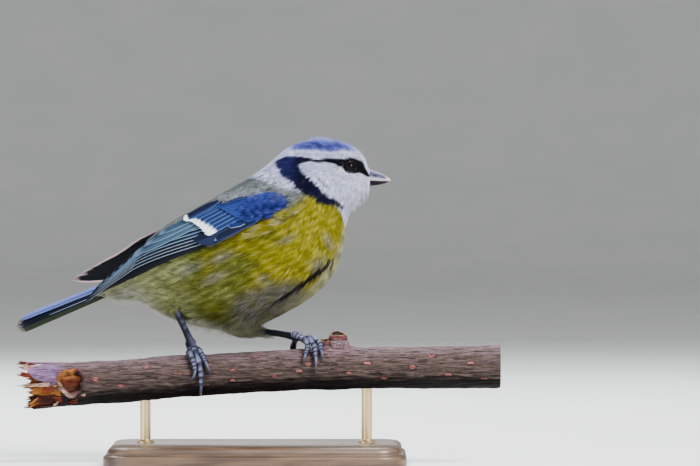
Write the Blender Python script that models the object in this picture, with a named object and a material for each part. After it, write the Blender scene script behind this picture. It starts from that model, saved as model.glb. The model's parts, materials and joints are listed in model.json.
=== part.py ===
"""A life-size blue tit that grips a cut length of branch, held by a plain stand.

The bird faces +X and is seen from its right side, so the camera's side is -Y. Lengths are in
millimetres until a mesh is made. The origin is at the middle of the underside of the whole model.
"""

import math

import bmesh
import bpy
import numpy as np

MM = 0.001
GAP = 0.3

# How the body is held: it is turned towards -Y, and the head looks straight along +X.
BODY_YAW = math.radians(18)
BODY_MID_X = -10.0
BODY_MID_Y = 1.5

# Stations of the body from tail root to bill: under edge x and z, upper edge x and z, half breadth.
BODY_STATIONS = np.array([
    (-40.8, 46.0, -42.0, 50.6, 3.4),
    (-35.8, 45.7, -38.4, 53.6, 5.4),
    (-31.0, 44.8, -35.4, 57.2, 8.0),
    (-26.2, 41.6, -32.2, 60.8, 10.9),
    (-19.6, 39.2, -28.4, 64.6, 13.8),
    (-11.6, 37.6, -23.2, 68.4, 16.2),
    (-3.0, 37.2, -17.0, 71.8, 17.6),
    (6.0, 41.1, -9.8, 75.9, 17.9),
    (14.6, 46.1, -3.4, 79.6, 17.2),
    (20.9, 52.2, 1.4, 82.8, 15.4),
    (24.2, 59.3, 5.4, 86.2, 13.0),
    (25.3, 65.8, 9.2, 89.0, 10.9),
    (26.7, 70.8, 13.8, 90.6, 9.7),
    (28.9, 73.4, 19.2, 90.8, 8.9),
    (30.4, 75.0, 24.6, 89.5, 7.5),
    (31.3, 76.5, 28.8, 87.2, 5.4),
    (31.9, 77.7, 31.7, 82.9, 2.3),
])
YAW_SHARE = np.array([1.0] * 9 + [0.8, 0.5, 0.2] + [0.0] * 5)
BODY_RINGS = 34
BODY_SIDES = 26
NECK_STATIONS = (9.2, 11.3)

EYE_X, EYE_Z, EYE_RADIUS = 26.6, 83.4, 1.75
EYE_SUNK = 1.15
LID_RADIUS, LID_THICK = 1.85, 0.42

# The bill: distance along it, top edge z, mouth line z, lower edge z and half breadth.
BILL_STATIONS = np.array([
    (32.2, 82.5, 79.6, 78.05, 1.9),
    (33.4, 82.05, 79.55, 78.15, 1.75),
    (34.8, 81.55, 79.45, 78.4, 1.4),
    (36.2, 80.85, 79.4, 78.8, 0.9),
    (37.1, 80.2, 79.4, 79.15, 0.45),
    (37.6, 79.75, 79.4, 79.3, 0.15),
])
LOWER_BILL_STATIONS = 5
NOSTRIL_X, NOSTRIL_Z, NOSTRIL_RADIUS = 33.2, 80.9, 0.35

# The folded wing is laid out on a shell round the body: distance along it from the shoulder,
# then distance across it, towards the back.
WING_SHOULDER = np.array([9.0, 73.5])
WING_ALONG = np.array([-0.8944, -0.4472])
WING_ACROSS = np.array([-0.4472, 0.8944])
WING_LENGTH = 64.0
# The least distance from the body's middle plane at which the wing lies, by distance along it.
WING_FREE_REACH = ((0.0, 20.0, 32.0, 45.0, 66.0), (12.0, 13.0, 11.4, 8.6, 5.8))
WING_EVENNESS = 1.6
VANE_THICK = 0.5
LEFT_WING_RAISE = math.radians(7.7)
LEFT_WING_SHIFT = np.array([-4.0, 1.3, -1.1])
LEFT_WING_TUCK = ((30.0, 46.0, 52.0, 64.0), (5.0, 4.0, 1.6, -0.4))
TUCKED_SHARE = 0.4

# The tail: root and tip of its middle, and the breadth and drop of its closed fan.
TAIL_ROOT = np.array([-39.6, 11.2, 50.2])
TAIL_TIP = np.array([-67.9, 20.4, 38.8])
TAIL_PAIRS = 6
TAIL_VANE_HALF = 2.0
TAIL_SPREAD, TAIL_DROP = 0.80, 0.36
TAIL_ROLL = math.radians(-26)
SHORT_TAIL_VANE = 0.56

# The perch: a branch along X whose axis rises a little, and its radius.
PERCH_AXIS = np.array([
    (-66.0, 22.0, 6.2),
    (-56.0, 22.3, 6.1),
    (-43.0, 23.0, 5.9),
    (-27.0, 24.2, 5.9),
    (-7.0, 25.5, 5.6),
    (15.0, 26.6, 5.7),
    (35.0, 27.0, 5.75),
    (68.4, 27.3, 5.9),
])
PERCH_SIDES = 16
PERCH_LEFT, PERCH_RIGHT = -62.5, 68.4
KNOT_X, KNOT_HEIGHT, KNOT_LENGTH, KNOT_TURN = 22.4, 1.9, 4.2, math.radians(34)
BUD_X, BUD_TOP, BUD_RADIUS = 22.8, 36.6, 2.3

TOE_RADIUS, CLAW_RADIUS = 0.92, 0.52
TARSUS_RADIUS = 0.95

STAND_LENGTH, STAND_BREADTH, STAND_HEIGHT = 84.0, 60.0, 6.0
ROD_RADIUS, ROD_SOCKET = 1.5, 2.5
ROD_PLACES = {"stand_rod_back": -31.0, "stand_rod_front": 31.0}


def clear_scene():
    """Removes the objects that the file opened with."""
    for item in list(bpy.data.objects):
        bpy.data.objects.remove(item)


def material(name, colour, roughness, metallic=0.0):
    """A plain finish with the piece's own colour."""
    made = bpy.data.materials.new(name)
    made.use_nodes = True
    shader = made.node_tree.nodes["Principled BSDF"]
    shader.inputs["Base Color"].default_value = (*colour, 1.0)
    shader.inputs["Roughness"].default_value = roughness
    shader.inputs["Metallic"].default_value = metallic
    return made


def spline(table, place):
    """The row of a table at a place between its rows, on a smooth curve through them all."""
    last = len(table) - 1
    place = min(max(place, 0.0), float(last))
    i = min(int(place), last - 1)
    t = place - i
    before, start, end, after = (table[min(max(k, 0), last)] for k in (i - 1, i, i + 1, i + 2))
    return 0.5 * (2 * start + (end - before) * t
                  + (2 * before - 5 * start + 4 * end - after) * t * t
                  + (3 * start - before - 3 * end + after) * t ** 3)


def unit(vector):
    return vector / np.linalg.norm(vector)


def turned(points, axis, angle, about):
    """Points turned by an angle about an axis through a point."""
    axis = unit(axis)
    arms = np.asarray(points, float) - about
    along = np.outer(arms @ axis, axis) if arms.ndim > 1 else (arms @ axis) * axis
    return about + along + (arms - along) * math.cos(angle) + np.cross(axis, arms) * math.sin(angle)


def volume_of(points, triangles):
    """Six times the volume inside a closed mesh."""
    corners = points[np.asarray(triangles)]
    return np.einsum("ij,ij->i", corners[:, 0], np.cross(corners[:, 1], corners[:, 2])).sum()


def solid(name, points, triangles, finish):
    """An object from points in millimetres and triangles, with its faces turned outwards."""
    points = np.asarray(points, float)
    triangles = [tuple(int(i) for i in t) for t in triangles]
    if volume_of(points, triangles) < 0:
        triangles = [t[::-1] for t in triangles]
    mesh = bpy.data.meshes.new(name)
    mesh.from_pydata((points * MM).tolist(), [], triangles)
    mesh.materials.append(finish)
    made = bpy.data.objects.new(name, mesh)
    bpy.context.scene.collection.objects.link(made)
    return made


def loft(rings):
    """Points and triangles of a closed skin over rings that hold equally many points."""
    sides = len(rings[0])
    points = np.concatenate([*rings, [np.mean(rings[0], axis=0), np.mean(rings[-1], axis=0)]])
    triangles = []
    for r in range(len(rings) - 1):
        for k in range(sides):
            a, b = r * sides + k, r * sides + (k + 1) % sides
            c, d = a + sides, b + sides
            triangles += [(a, b, d), (a, d, c)]
    first, last = len(points) - 2, len(points) - 1
    tail = (len(rings) - 1) * sides
    for k in range(sides):
        after = (k + 1) % sides
        triangles += [(first, after, k), (last, tail + k, tail + after)]
    return points, triangles


def tube(path, radii, sides, up=(0.0, 0.0, 1.0), flatten=1.0):
    """Rings round a path, each with its radius, flattened along the up direction."""
    path = np.asarray(path, float)
    heading = np.gradient(path, axis=0)
    rings = []
    for point, ahead, radius in zip(path, heading, radii):
        ahead = unit(ahead)
        side = unit(np.cross(ahead, up))
        top = np.cross(side, ahead)
        turns = np.arange(sides) * 2 * math.pi / sides
        rings.append(point + radius * (np.outer(np.cos(turns), side)
                                       + flatten * np.outer(np.sin(turns), top)))
    return rings


def smooth_path(points, count):
    """A path of so many points on a smooth curve through a few."""
    table = np.asarray(points, float)
    return np.array([spline(table, p) for p in np.linspace(0, len(table) - 1, count)])


def keep_largest(mesh):
    """Drops every closed surface but the largest, so that a node stays one body."""
    shape = bmesh.new()
    shape.from_mesh(mesh)
    bmesh.ops.triangulate(shape, faces=shape.faces)
    left, shells = set(shape.faces), []
    while left:
        front = [left.pop()]
        shell = list(front)
        while front:
            near = {f for e in front.pop().edges for f in e.link_faces} & left
            left -= near
            front += near
            shell += near
        corners = [[v.co for v in f.verts] for f in shell]
        shells.append((abs(sum(a.dot(b.cross(c)) for a, b, c in corners)), shell))
    largest = max(shells, key=lambda found: found[0])[1]
    extra = list(set(shape.faces) - set(largest))
    bmesh.ops.delete(shape, geom=extra, context="FACES")
    shape.to_mesh(mesh)
    shape.free()


def combine(first, others, operation):
    """Joins other closed objects to the first, or cuts them from it, and removes them."""
    helpers = bpy.data.collections.new(first.name + "_pieces")
    bpy.context.scene.collection.children.link(helpers)
    for piece in others:
        helpers.objects.link(piece)
        bpy.context.scene.collection.objects.unlink(piece)
    change = first.modifiers.new("combine", "BOOLEAN")
    change.operand_type = "COLLECTION"
    change.collection = helpers
    change.operation = operation
    change.solver = "MANIFOLD"
    graph = bpy.context.evaluated_depsgraph_get()
    result = bpy.data.meshes.new_from_object(first.evaluated_get(graph))
    first.modifiers.remove(change)
    first.data = result
    for piece in others:
        bpy.data.objects.remove(piece)
    bpy.data.collections.remove(helpers)
    keep_largest(first.data)
    return first


def ellipsoid(name, centre, radii, finish, rows=10, sides=16):
    """A closed ball with its own radius along each axis."""
    rings = []
    for row in range(1, rows):
        turn = math.pi * row / rows
        around = np.arange(sides) * 2 * math.pi / sides
        ring = np.stack([np.sin(turn) * np.cos(around), np.full(sides, -np.cos(turn)),
                         np.sin(turn) * np.sin(around)], axis=1)
        rings.append(np.asarray(centre) + ring * radii)
    points, triangles = loft(rings)
    points[-2] = np.asarray(centre) - (0, radii[1], 0)
    points[-1] = np.asarray(centre) + (0, radii[1], 0)
    return solid(name, points, triangles, finish)


def shade_round(item, sharp=50):
    """Smooth shading that keeps the edges of a round piece."""
    item.data.shade_smooth()
    item.data.set_sharp_from_angle(angle=math.radians(sharp))


# The body


def midline_y():
    """Where the middle plane of the body lies in Y at each station."""
    middle = (BODY_STATIONS[:, 0] + BODY_STATIONS[:, 2]) / 2
    slope = np.tan(YAW_SHARE * BODY_YAW)
    steps = -np.diff(middle) * (slope[1:] + slope[:-1]) / 2
    way = np.concatenate([[0.0], np.cumsum(steps)])
    return way - np.interp(BODY_MID_X, middle, way) + BODY_MID_Y


BODY_TABLE = np.column_stack([BODY_STATIONS, YAW_SHARE * BODY_YAW, midline_y()])


def body_frame(station, grow=0.0):
    """Centre, half depth and half breadth of the body as vectors at a station."""
    under_x, under_z, upper_x, upper_z, half, yaw, y = spline(BODY_TABLE, station)
    centre = np.array([(under_x + upper_x) / 2, y, (under_z + upper_z) / 2])
    rise = np.array([upper_x - under_x, (under_x - upper_x) * math.tan(yaw), upper_z - under_z]) / 2
    rise *= 1 + grow / np.linalg.norm(rise)
    side = (half + grow) * np.array([math.sin(yaw), math.cos(yaw), 0.0])
    return centre, rise, side


def body_surface(station, turn, grow=0.0):
    """A point of the body: turn 0 is its upper edge, and a quarter turn back is the near side."""
    centre, rise, side = body_frame(station, grow)
    return centre + rise * math.cos(turn) + side * math.sin(turn)


def body_skin(name, finish, grow=0.0):
    """The whole body from tail root to bill as one closed skin."""
    last = len(BODY_STATIONS) - 1
    turns = np.arange(BODY_SIDES) * 2 * math.pi / BODY_SIDES
    rings = [np.array([body_surface(s, t, grow) for t in turns])
             for s in np.linspace(0, last, BODY_RINGS)]
    return solid(name, *loft(rings), finish)


def slice_off(item, point, normal):
    """Cuts away what lies beyond a plane and closes the cut."""
    shape = bmesh.new()
    shape.from_mesh(item.data)
    cut = bmesh.ops.bisect_plane(
        shape, geom=shape.verts[:] + shape.edges[:] + shape.faces[:], dist=1e-7,
        plane_co=np.asarray(point) * MM, plane_no=normal, clear_outer=True)
    rim = [e for e in cut["geom_cut"] if isinstance(e, bmesh.types.BMEdge)]
    bmesh.ops.edgeloop_fill(shape, edges=rim)
    bmesh.ops.recalc_face_normals(shape, faces=shape.faces)
    bmesh.ops.triangulate(shape, faces=shape.faces)
    shape.to_mesh(item.data)
    shape.free()


def make_body(finishes):
    """Torso, neck and head, parted by thin flat cuts."""
    planes = []
    for station in NECK_STATIONS:
        centre, rise, side = body_frame(station)
        planes.append((centre, unit(np.cross(side, rise))))
    (low, low_way), (high, high_way) = planes
    torso = body_skin("torso", finishes["belly"])
    slice_off(torso, low - low_way * GAP / 2, low_way)
    neck = body_skin("neck", finishes["collar"])
    slice_off(neck, low + low_way * GAP / 2, -low_way)
    slice_off(neck, high - high_way * GAP / 2, high_way)
    head = body_skin("head", finishes["cheek"])
    slice_off(head, high + high_way * GAP / 2, -high_way)
    for piece in (torso, neck, head):
        shade_round(piece)
    return head


def eye_centre(side):
    """The middle of an eye, sunk below the skin. Side is -1 for the right eye and 1 for the left."""
    stations = np.linspace(12, 15.5, 60)
    turns = np.linspace(0.1, math.pi - 0.1, 90) * side
    spots = [body_surface(s, t) for s in stations for t in turns]
    skin = min(spots, key=lambda p: math.hypot(p[0] - EYE_X, p[2] - EYE_Z))
    outward = unit(np.array([0.28, side, 0.12]))
    return skin - outward * EYE_SUNK, outward


def lid_ring(centre, outward, finish):
    """The raised rim of the lids round an eye."""
    middle = centre + outward * EYE_SUNK
    right = unit(np.cross(outward, (0.0, 0.0, 1.0)))
    up = np.cross(right, outward)
    around, across = 18, 6
    points, triangles = [], []
    for i in range(around):
        turn = 2 * math.pi * i / around
        spoke = right * math.cos(turn) + up * math.sin(turn)
        for j in range(across):
            roll = 2 * math.pi * j / across
            reach = LID_RADIUS + LID_THICK * math.cos(roll)
            points.append(middle + spoke * reach + outward * LID_THICK * math.sin(roll))
            a, b = i * across + j, i * across + (j + 1) % across
            c, d = ((i + 1) % around) * across + j, ((i + 1) % around) * across + (j + 1) % across
            triangles += [(a, b, d), (a, d, c)]
    return solid("lid", points, triangles, finish)


def make_eyes(head, finishes):
    """Both eyeballs, and the lids and sockets round them in the head."""
    lids, sockets = [], []
    for name, side in (("eye_right", -1), ("eye_left", 1)):
        centre, outward = eye_centre(side)
        lids.append(lid_ring(centre, outward, finishes["cheek"]))
        sockets.append(ellipsoid("socket", centre, [EYE_RADIUS + GAP] * 3, finishes["cheek"]))
        ball = ellipsoid(name, centre, [EYE_RADIUS] * 3, finishes["eye"])
        shade_round(ball)
    combine(head, lids, "UNION")
    combine(head, sockets, "DIFFERENCE")
    shade_round(head)


def bill_ring(x, top, bottom, half, middle_y, crown):
    """One section of a mandible. Crown is 1 for the domed upper one and -1 for the lower one."""
    edge, far = (bottom, top) if crown > 0 else (top, bottom)
    ring = []
    for turn in np.linspace(0, math.pi, 7):
        ring.append((x, middle_y + half * math.cos(turn), edge + (far - edge) * math.sin(turn) ** 0.8))
    for share in (-0.5, 0.0, 0.5):
        ring.append((x, middle_y + half * share, edge - 0.12 * crown * (far - edge) / 3))
    return np.array(ring)


def make_bill(finishes):
    """Both mandibles, parted along the line of the mouth, with the nostrils in the upper one."""
    middle_y = BODY_TABLE[-1][-1]
    upper = [bill_ring(x, top, mouth + GAP / 2, half, middle_y, 1)
             for x, top, mouth, _, half in BILL_STATIONS]
    lower = [bill_ring(x, mouth - GAP / 2, under - 0.15, half * 0.92, middle_y, -1)
             for x, _, mouth, under, half in BILL_STATIONS[:LOWER_BILL_STATIONS]]
    top_piece = solid("bill_upper", *loft(upper), finishes["bill"])
    half = np.interp(NOSTRIL_X, BILL_STATIONS[:, 0], BILL_STATIONS[:, 4])
    pits = [ellipsoid("pit", (NOSTRIL_X, middle_y + side * (half - 0.1), NOSTRIL_Z),
                      (NOSTRIL_RADIUS * 1.6, NOSTRIL_RADIUS * 1.4, NOSTRIL_RADIUS), finishes["bill"], 6, 8)
            for side in (-1, 1)]
    combine(top_piece, pits, "DIFFERENCE")
    shade_round(top_piece)
    shade_round(solid("bill_lower", *loft(lower), finishes["bill"]))


# The wings and the tail


BODY_PLANE = np.array([math.sin(BODY_YAW), math.cos(BODY_YAW), 0.0])
BODY_POINT = np.array([BODY_MID_X, BODY_MID_Y, 0.0])
NEAR_SIDE = np.array([body_surface(s, -t) for s in np.linspace(1, 12, 70)
                      for t in np.linspace(0.15, 3.0, 50)])
NEAR_REACH = (BODY_POINT - NEAR_SIDE) @ BODY_PLANE


def body_reach(x, z):
    """How far the body's near side stands out from its middle plane at a spot seen from the side."""
    away = (NEAR_SIDE[:, 0] - x) ** 2 + (NEAR_SIDE[:, 2] - z) ** 2
    weights = np.exp((away.min() - away) / WING_EVENNESS ** 2)
    return weights @ NEAR_REACH / weights.sum()


def wing_sheet(along, across):
    """A point on the shell that the right wing lies on: the body's side, and past it a free sheet."""
    x, z = WING_SHOULDER + along * WING_ALONG + across * WING_ACROSS
    body = body_reach(x, z)
    free = np.interp(along, *WING_FREE_REACH)
    reach = (body + free + math.hypot(body - free, 1.0)) / 2
    plane_y = BODY_MID_Y - (x - BODY_MID_X) * math.tan(BODY_YAW)
    return np.array([x, plane_y - reach / math.cos(BODY_YAW), z])


def right_wing_place(along, across, lift):
    """A point raised from the right wing's shell."""
    step = 0.2
    lengthwise = wing_sheet(along + step, across) - wing_sheet(along - step, across)
    crosswise = wing_sheet(along, across + step) - wing_sheet(along, across - step)
    return wing_sheet(along, across) - unit(np.cross(lengthwise, crosswise)) * lift


def left_wing_place(along, across, lift):
    """The same point of the left wing: mirrored in the body's middle plane, then held higher.

    Its uppermost feathers are tucked closer under the back, most of all towards the tip.
    """
    tuck = float(np.interp(along, *LEFT_WING_TUCK))
    across = min(across, tuck) + TUCKED_SHARE * max(across - tuck, 0.0)

    def mirrored(point):
        return point - 2 * ((point - BODY_POINT) @ BODY_PLANE) * BODY_PLANE

    shoulder = mirrored(wing_sheet(0.0, 0.0))
    return turned(mirrored(right_wing_place(along, across, lift)), BODY_PLANE, LEFT_WING_RAISE,
                  shoulder) + LEFT_WING_SHIFT * along / WING_LENGTH


VANE_SHARES = (0.0, 0.42, 0.84, 1.0)
VANE_WIDTHS = (0.60, 1.0, 0.80, 0.18)


def vane(place, root, tip, half, lift, tilt=0.12, thick=VANE_THICK, bend=0.0, finish=None):
    """A feather as a thin closed blade with a raised shaft, split alike on both its faces.

    Place turns a spot of the surface and a height into a point, tilt raises one edge over the
    next feather, and bend bows the blade sideways.
    """
    root, tip = np.asarray(root, float), np.asarray(tip, float)
    way = unit(tip - root)
    cross = np.array([-way[1], way[0]])
    points = []
    for share, width in zip(VANE_SHARES, VANE_WIDTHS):
        middle = root + (tip - root) * share + cross * bend * math.sin(math.pi * share)
        for edge in (-1, 0, 1):
            spot = middle + cross * half * width * edge
            height = lift + tilt * edge * width
            ridge = 0.12 if edge == 0 else 0.0
            points.append(place(*spot, height + thick / 2 + ridge))
            points.append(place(*spot, height - thick / 2))
    triangles = []
    for r in range(len(VANE_SHARES) - 1):
        a = 6 * r
        for k in (0, 2):
            top = (a + k, a + k + 2, a + k + 8, a + k + 6)
            under = tuple(i + 1 for i in top)
            triangles += [top[:3], (top[0], top[2], top[3])]
            triangles += [under[2::-1], (under[0], under[3], under[2])]
        for left, right in ((a, a + 1), (a + 5, a + 4)):
            triangles += [(left, left + 6, right + 6), (left, right + 6, right)]
    end = 6 * (len(VANE_SHARES) - 1)
    for k in (0, 2):
        triangles += [(k, k + 1, k + 3), (k, k + 3, k + 2)]
        triangles += [(end + k, end + k + 3, end + k + 1), (end + k, end + k + 2, end + k + 3)]
    return solid("vane", points, triangles, finish)


def between(start, end, count):
    """So many pairs of numbers evenly spaced from one pair to another."""
    return [np.asarray(start) + (np.asarray(end) - start) * i / (count - 1) for i in range(count)]


PRIMARY_TIPS = ((51.0, 3.0), (54.2, 2.5), (57.4, 1.9), (60.6, 1.3), (64.0, 0.2), (61.8, 0.2), (58.0, 0.7))


def wing_feathers():
    """Root, tip, half width, lift and tilt of each feather of a wing, tier by tier."""
    rows = []
    primary_roots = between((21.0, 3.2), (18.0, 0.4), len(PRIMARY_TIPS))
    for root, tip in zip(primary_roots, PRIMARY_TIPS):
        rows.append((root, tip, 1.45, 0.75, -0.16))
    for root, tip in zip(between((20.0, 6.6), (19.0, 2.6), 5), between((41.5, 5.9), (49.4, 3.4), 5)):
        rows.append((root, tip, 1.9, 1.15, -0.16))
    for root, tip in zip(between((17.0, 7.4), (17.0, 5.4), 3), between((34.0, 8.0), (39.5, 6.4), 3)):
        rows.append((root, tip, 1.9, 1.55, -0.14))
    for root, tip in zip(between((15.4, 6.2), (9.5, 1.2), 7), between((28.2, 8.4), (23.2, 1.4), 7)):
        rows.append((root, tip, 1.3, 1.85, -0.14))
    for root, tip in zip(between((13.0, 0.6), (12.0, -0.8), 2), between((28.4, 0.4), (26.6, -0.8), 2)):
        rows.append((root, tip, 1.3, 1.45, -0.12))
    for root, tip in (((7.0, 0.2), (17.4, 0.2)), ((7.0, -0.9), (22.2, -1.4))):
        rows.append((root, tip, 1.15, 1.8, -0.1))
    for root, tip in zip(between((8.6, 3.9), (4.6, -0.2), 5), between((16.8, 4.9), (12.2, -0.4), 5)):
        rows.append((root, tip, 1.5, 2.15, -0.12))
    for root, tip in zip(between((4.6, 3.0), (2.0, -0.2), 4), between((11.6, 3.9), (7.8, -0.6), 4)):
        rows.append((root, tip, 1.5, 2.3, -0.1))
    for root, tip in zip(between((0.6, 2.0), (0.2, 0.2), 3), between((6.6, 3.0), (4.6, -0.2), 3)):
        rows.append((root, tip, 1.3, 2.3, -0.08))
    return rows


SPREAD_PRIMARIES = (((20.0, -1.4), (65.2, -0.7), 2.0, 0.45, -0.16, -2.5),
                    ((20.0, -0.2), (63.2, 0.2), 2.0, 0.60, -0.16, -0.9))


def make_wing(name, place, finish, spread=()):
    """A folded wing: the arm under its coverts, and every tier of feathers joined to it.

    The left wing isn't quite shut, so its lowest primaries spread below the rest.
    """
    arm = vane(place, (0.8, 0.8), (26.0, 3.4), 3.0, 1.15, tilt=0.0, thick=1.5, finish=finish)
    arm.name = name
    feathers = [vane(place, root, tip, half, lift, tilt, finish=finish)
                for root, tip, half, lift, tilt in wing_feathers()]
    feathers += [vane(place, root, tip, half, lift, tilt, bend=bend, finish=finish)
                 for root, tip, half, lift, tilt, bend in spread]
    combine(arm, feathers, "UNION")
    combine(arm, [body_skin("torso_clearance", finish, GAP)], "DIFFERENCE")
    arm.data.name = name


def tail_place(along, across, lift):
    """A point of the tail, from its distance along, its distance to the left and its height."""
    ahead = unit(TAIL_TIP - TAIL_ROOT)
    side = np.array([math.sin(BODY_YAW), math.cos(BODY_YAW), 0.0])
    side = unit(side - (side @ ahead) * ahead)
    side = turned(side, ahead, TAIL_ROLL, np.zeros(3))
    up = np.cross(side, ahead)
    up *= math.copysign(1.0, up[2])
    return TAIL_ROOT + ahead * along + side * across + up * lift


def make_tail(finish):
    """Six pairs of tail feathers, the middle pair on top, fused at their roots."""
    length = np.linalg.norm(TAIL_TIP - TAIL_ROOT)
    feathers = []
    for pair in range(TAIL_PAIRS):
        for side in (-1, 1):
            across = side * (0.55 + TAIL_SPREAD * pair)
            lift = 0.9 - TAIL_DROP * pair - (0.18 if side > 0 else 0.0)
            reach = length - 0.5 * abs(pair - 2)
            if pair == 0 and side > 0:
                reach = length * SHORT_TAIL_VANE
                lift += 0.55
            feathers.append(vane(tail_place, (0.3, across * 0.45), (reach, across), TAIL_VANE_HALF,
                                 lift, tilt=-0.3 * side, finish=finish))
    root = vane(tail_place, (0.3, 0.0), (9.0, 0.0), 3.0, 0.0, tilt=0.0, thick=2.6, finish=finish)
    root.name = "tail"
    combine(root, feathers, "UNION")
    combine(root, [body_skin("torso_clearance", finish, GAP)], "DIFFERENCE")
    root.data.name = "tail"


# The perch, the legs and the stand


def perch_section(x):
    """Axis height and radius of the branch at x."""
    place = np.interp(x, PERCH_AXIS[:, 0], np.arange(len(PERCH_AXIS)))
    _, height, radius = spline(PERCH_AXIS, place)
    return height, radius


def perch_radius(x, turn):
    """The branch's radius at x and at a turn from its top: a swelling under the bud, and bark."""
    _, radius = perch_section(x)
    away = math.remainder(turn, 2 * math.pi)
    swell = KNOT_HEIGHT * math.exp(-((x - KNOT_X) / KNOT_LENGTH) ** 2 - (away / KNOT_TURN) ** 2)
    ripple = 0.1 * math.sin(3 * turn + 0.21 * x) + 0.07 * math.sin(5 * turn - 0.33 * x)
    return radius + swell + ripple


def perch_place(x, turn, lift):
    """A point over the branch's bark. Turn grows from the top towards the near side."""
    height, _ = perch_section(x)
    reach = perch_radius(x, turn) + lift
    return np.array([x, -reach * math.sin(turn), height + reach * math.cos(turn)])


def make_perch(finishes):
    """The cut length of branch: a torn left end, a sawn right end, a bud scar and two rod holes."""
    torn = np.random.default_rng(7)
    turns = np.arange(PERCH_SIDES) * 2 * math.pi / PERCH_SIDES
    stations = [PERCH_LEFT, *np.linspace(-57, PERCH_RIGHT, 30)]
    rings = [np.array([perch_place(x, t, 0.0) for t in turns]) for x in stations]
    rings[0] += np.column_stack([torn.uniform(-3.2, 1.6, PERCH_SIDES), torn.uniform(-0.7, 0.7, PERCH_SIDES),
                                 torn.uniform(-0.7, 0.7, PERCH_SIDES)])
    points, triangles = loft(rings)
    points[-2] += (2.6, 0.0, 0.0)
    perch = solid("perch", points, triangles, finishes["bark"])
    bud_base = perch_section(BUD_X)[0] + 3.0
    bud_radii = (BUD_RADIUS * 1.25, BUD_RADIUS * 1.05, BUD_RADIUS * 0.8, BUD_RADIUS, BUD_RADIUS * 0.5)
    bud_heights = (bud_base, bud_base + 4.2, BUD_TOP - 1.5, BUD_TOP - 0.5, BUD_TOP)
    bud = solid("bud", *loft(tube([(BUD_X, -0.4, z) for z in bud_heights], bud_radii, 12,
                                  up=(0.0, 1.0, 0.0))), finishes["bark"])
    small = ellipsoid("small_bud", (19.3, -0.8, 33.4), (1.5, 1.4, 1.7), finishes["bark"], 8, 10)
    flakes = []
    for x, turn, length, width in ((-61.0, 1.2, 7.0, 2.6), (-57.0, 2.1, 6.0, 2.2),
                                   (-53.5, 1.5, 5.5, 2.4), (-59.5, 3.0, 6.5, 2.4),
                                   (-55.0, 2.9, 5.0, 1.8), (-61.0, 0.1, 6.5, 2.0)):
        flakes.append(bark_flake(x, turn, length, width, finishes["bark"]))
    combine(perch, [bud, small, *flakes], "UNION")
    holes = [cylinder("hole", x, perch_bottom(x) - 3, perch_bottom(x) + ROD_SOCKET + GAP,
                      ROD_RADIUS + GAP, finishes["bark"]) for x in ROD_PLACES.values()]
    combine(perch, holes, "DIFFERENCE")
    shade_round(perch, 40)


def bark_flake(x, turn, length, width, finish):
    """A scale of torn bark, rooted in the branch and lifting away to the left."""
    def place(along, across, lift):
        curl = 0.028 * along * along
        return perch_place(x + 3.0 - along, turn + across / 6.0, lift - 0.5 + curl)
    return vane(place, (0.0, 0.0), (length, 0.4), width, 0.0, tilt=0.2, thick=0.7, finish=finish)


def perch_bottom(x):
    return perch_section(x)[0] - perch_radius(x, math.pi)


def cylinder(name, x, low, high, radius, finish, sides=18):
    """An upright round bar."""
    return solid(name, *loft(tube([(x, 0.0, low), (x, 0.0, high)], (radius, radius), sides,
                                  up=(0.0, 1.0, 0.0))), finish)


# The toes as they lie on the branch: x, turn from its top in degrees, and height over the bark.
RIGHT_TOES = {
    "inner": ((-17.4, 3, 2.2), (-15.8, 24, 1.9), (-14.7, 42, 1.5), (-14.1, 57, 1.3)),
    "middle": ((-17.9, 4, 2.4), (-16.9, 30, 2.0), (-15.8, 58, 1.6), (-15.2, 86, 1.4), (-15.2, 110, 1.3)),
    "outer": ((-18.5, 4, 2.2), (-18.3, 30, 1.8), (-17.3, 56, 1.5), (-16.8, 77, 1.35)),
    "hind": ((-18.4, -6, 2.1), (-18.9, -34, 1.6), (-19.1, -64, 1.35)),
}
RIGHT_CLAWS = {
    "inner": ((-13.5, 69, 1.35), (-12.8, 82, 1.1), (-12.3, 93, 0.55)),
    "middle": ((-15.3, 124, 1.3), (-15.4, 141, 1.1), (-15.5, 156, 0.55)),
    "outer": ((-17.2, 88, 1.5), (-18.2, 97, 1.25), (-19.4, 101, 0.55)),
    "hind": ((-19.2, -82, 1.6), (-19.1, -102, 1.4), (-19.0, -118, 0.55)),
}
LEFT_TOES = {
    "inner": ((11.6, 4, 3.3), (13.9, 18, 2.9), (14.5, 36, 1.9), (13.9, 51, 1.4)),
    "middle": ((12.0, 0, 3.6), (14.9, 16, 3.1), (16.5, 38, 2.1), (16.7, 60, 1.5)),
    "outer": ((11.8, -5, 3.3), (15.6, 5, 2.9), (17.9, 24, 1.8), (18.2, 42, 1.35)),
    "hind": ((11.0, -8, 2.9), (10.3, -34, 1.7), (10.1, -62, 1.35)),
}
LEFT_CLAWS = {
    "inner": ((13.6, 60, 1.45), (13.2, 68, 1.1), (12.9, 75, 0.6)),
    "middle": ((16.8, 74, 1.6), (16.6, 90, 1.35), (16.2, 105, 0.55)),
    "outer": ((18.5, 53, 1.35), (18.6, 63, 1.05), (18.6, 72, 0.6)),
    "hind": ((10.0, -80, 1.6), (10.1, -98, 1.4), (10.2, -114, 0.55)),
}
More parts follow.
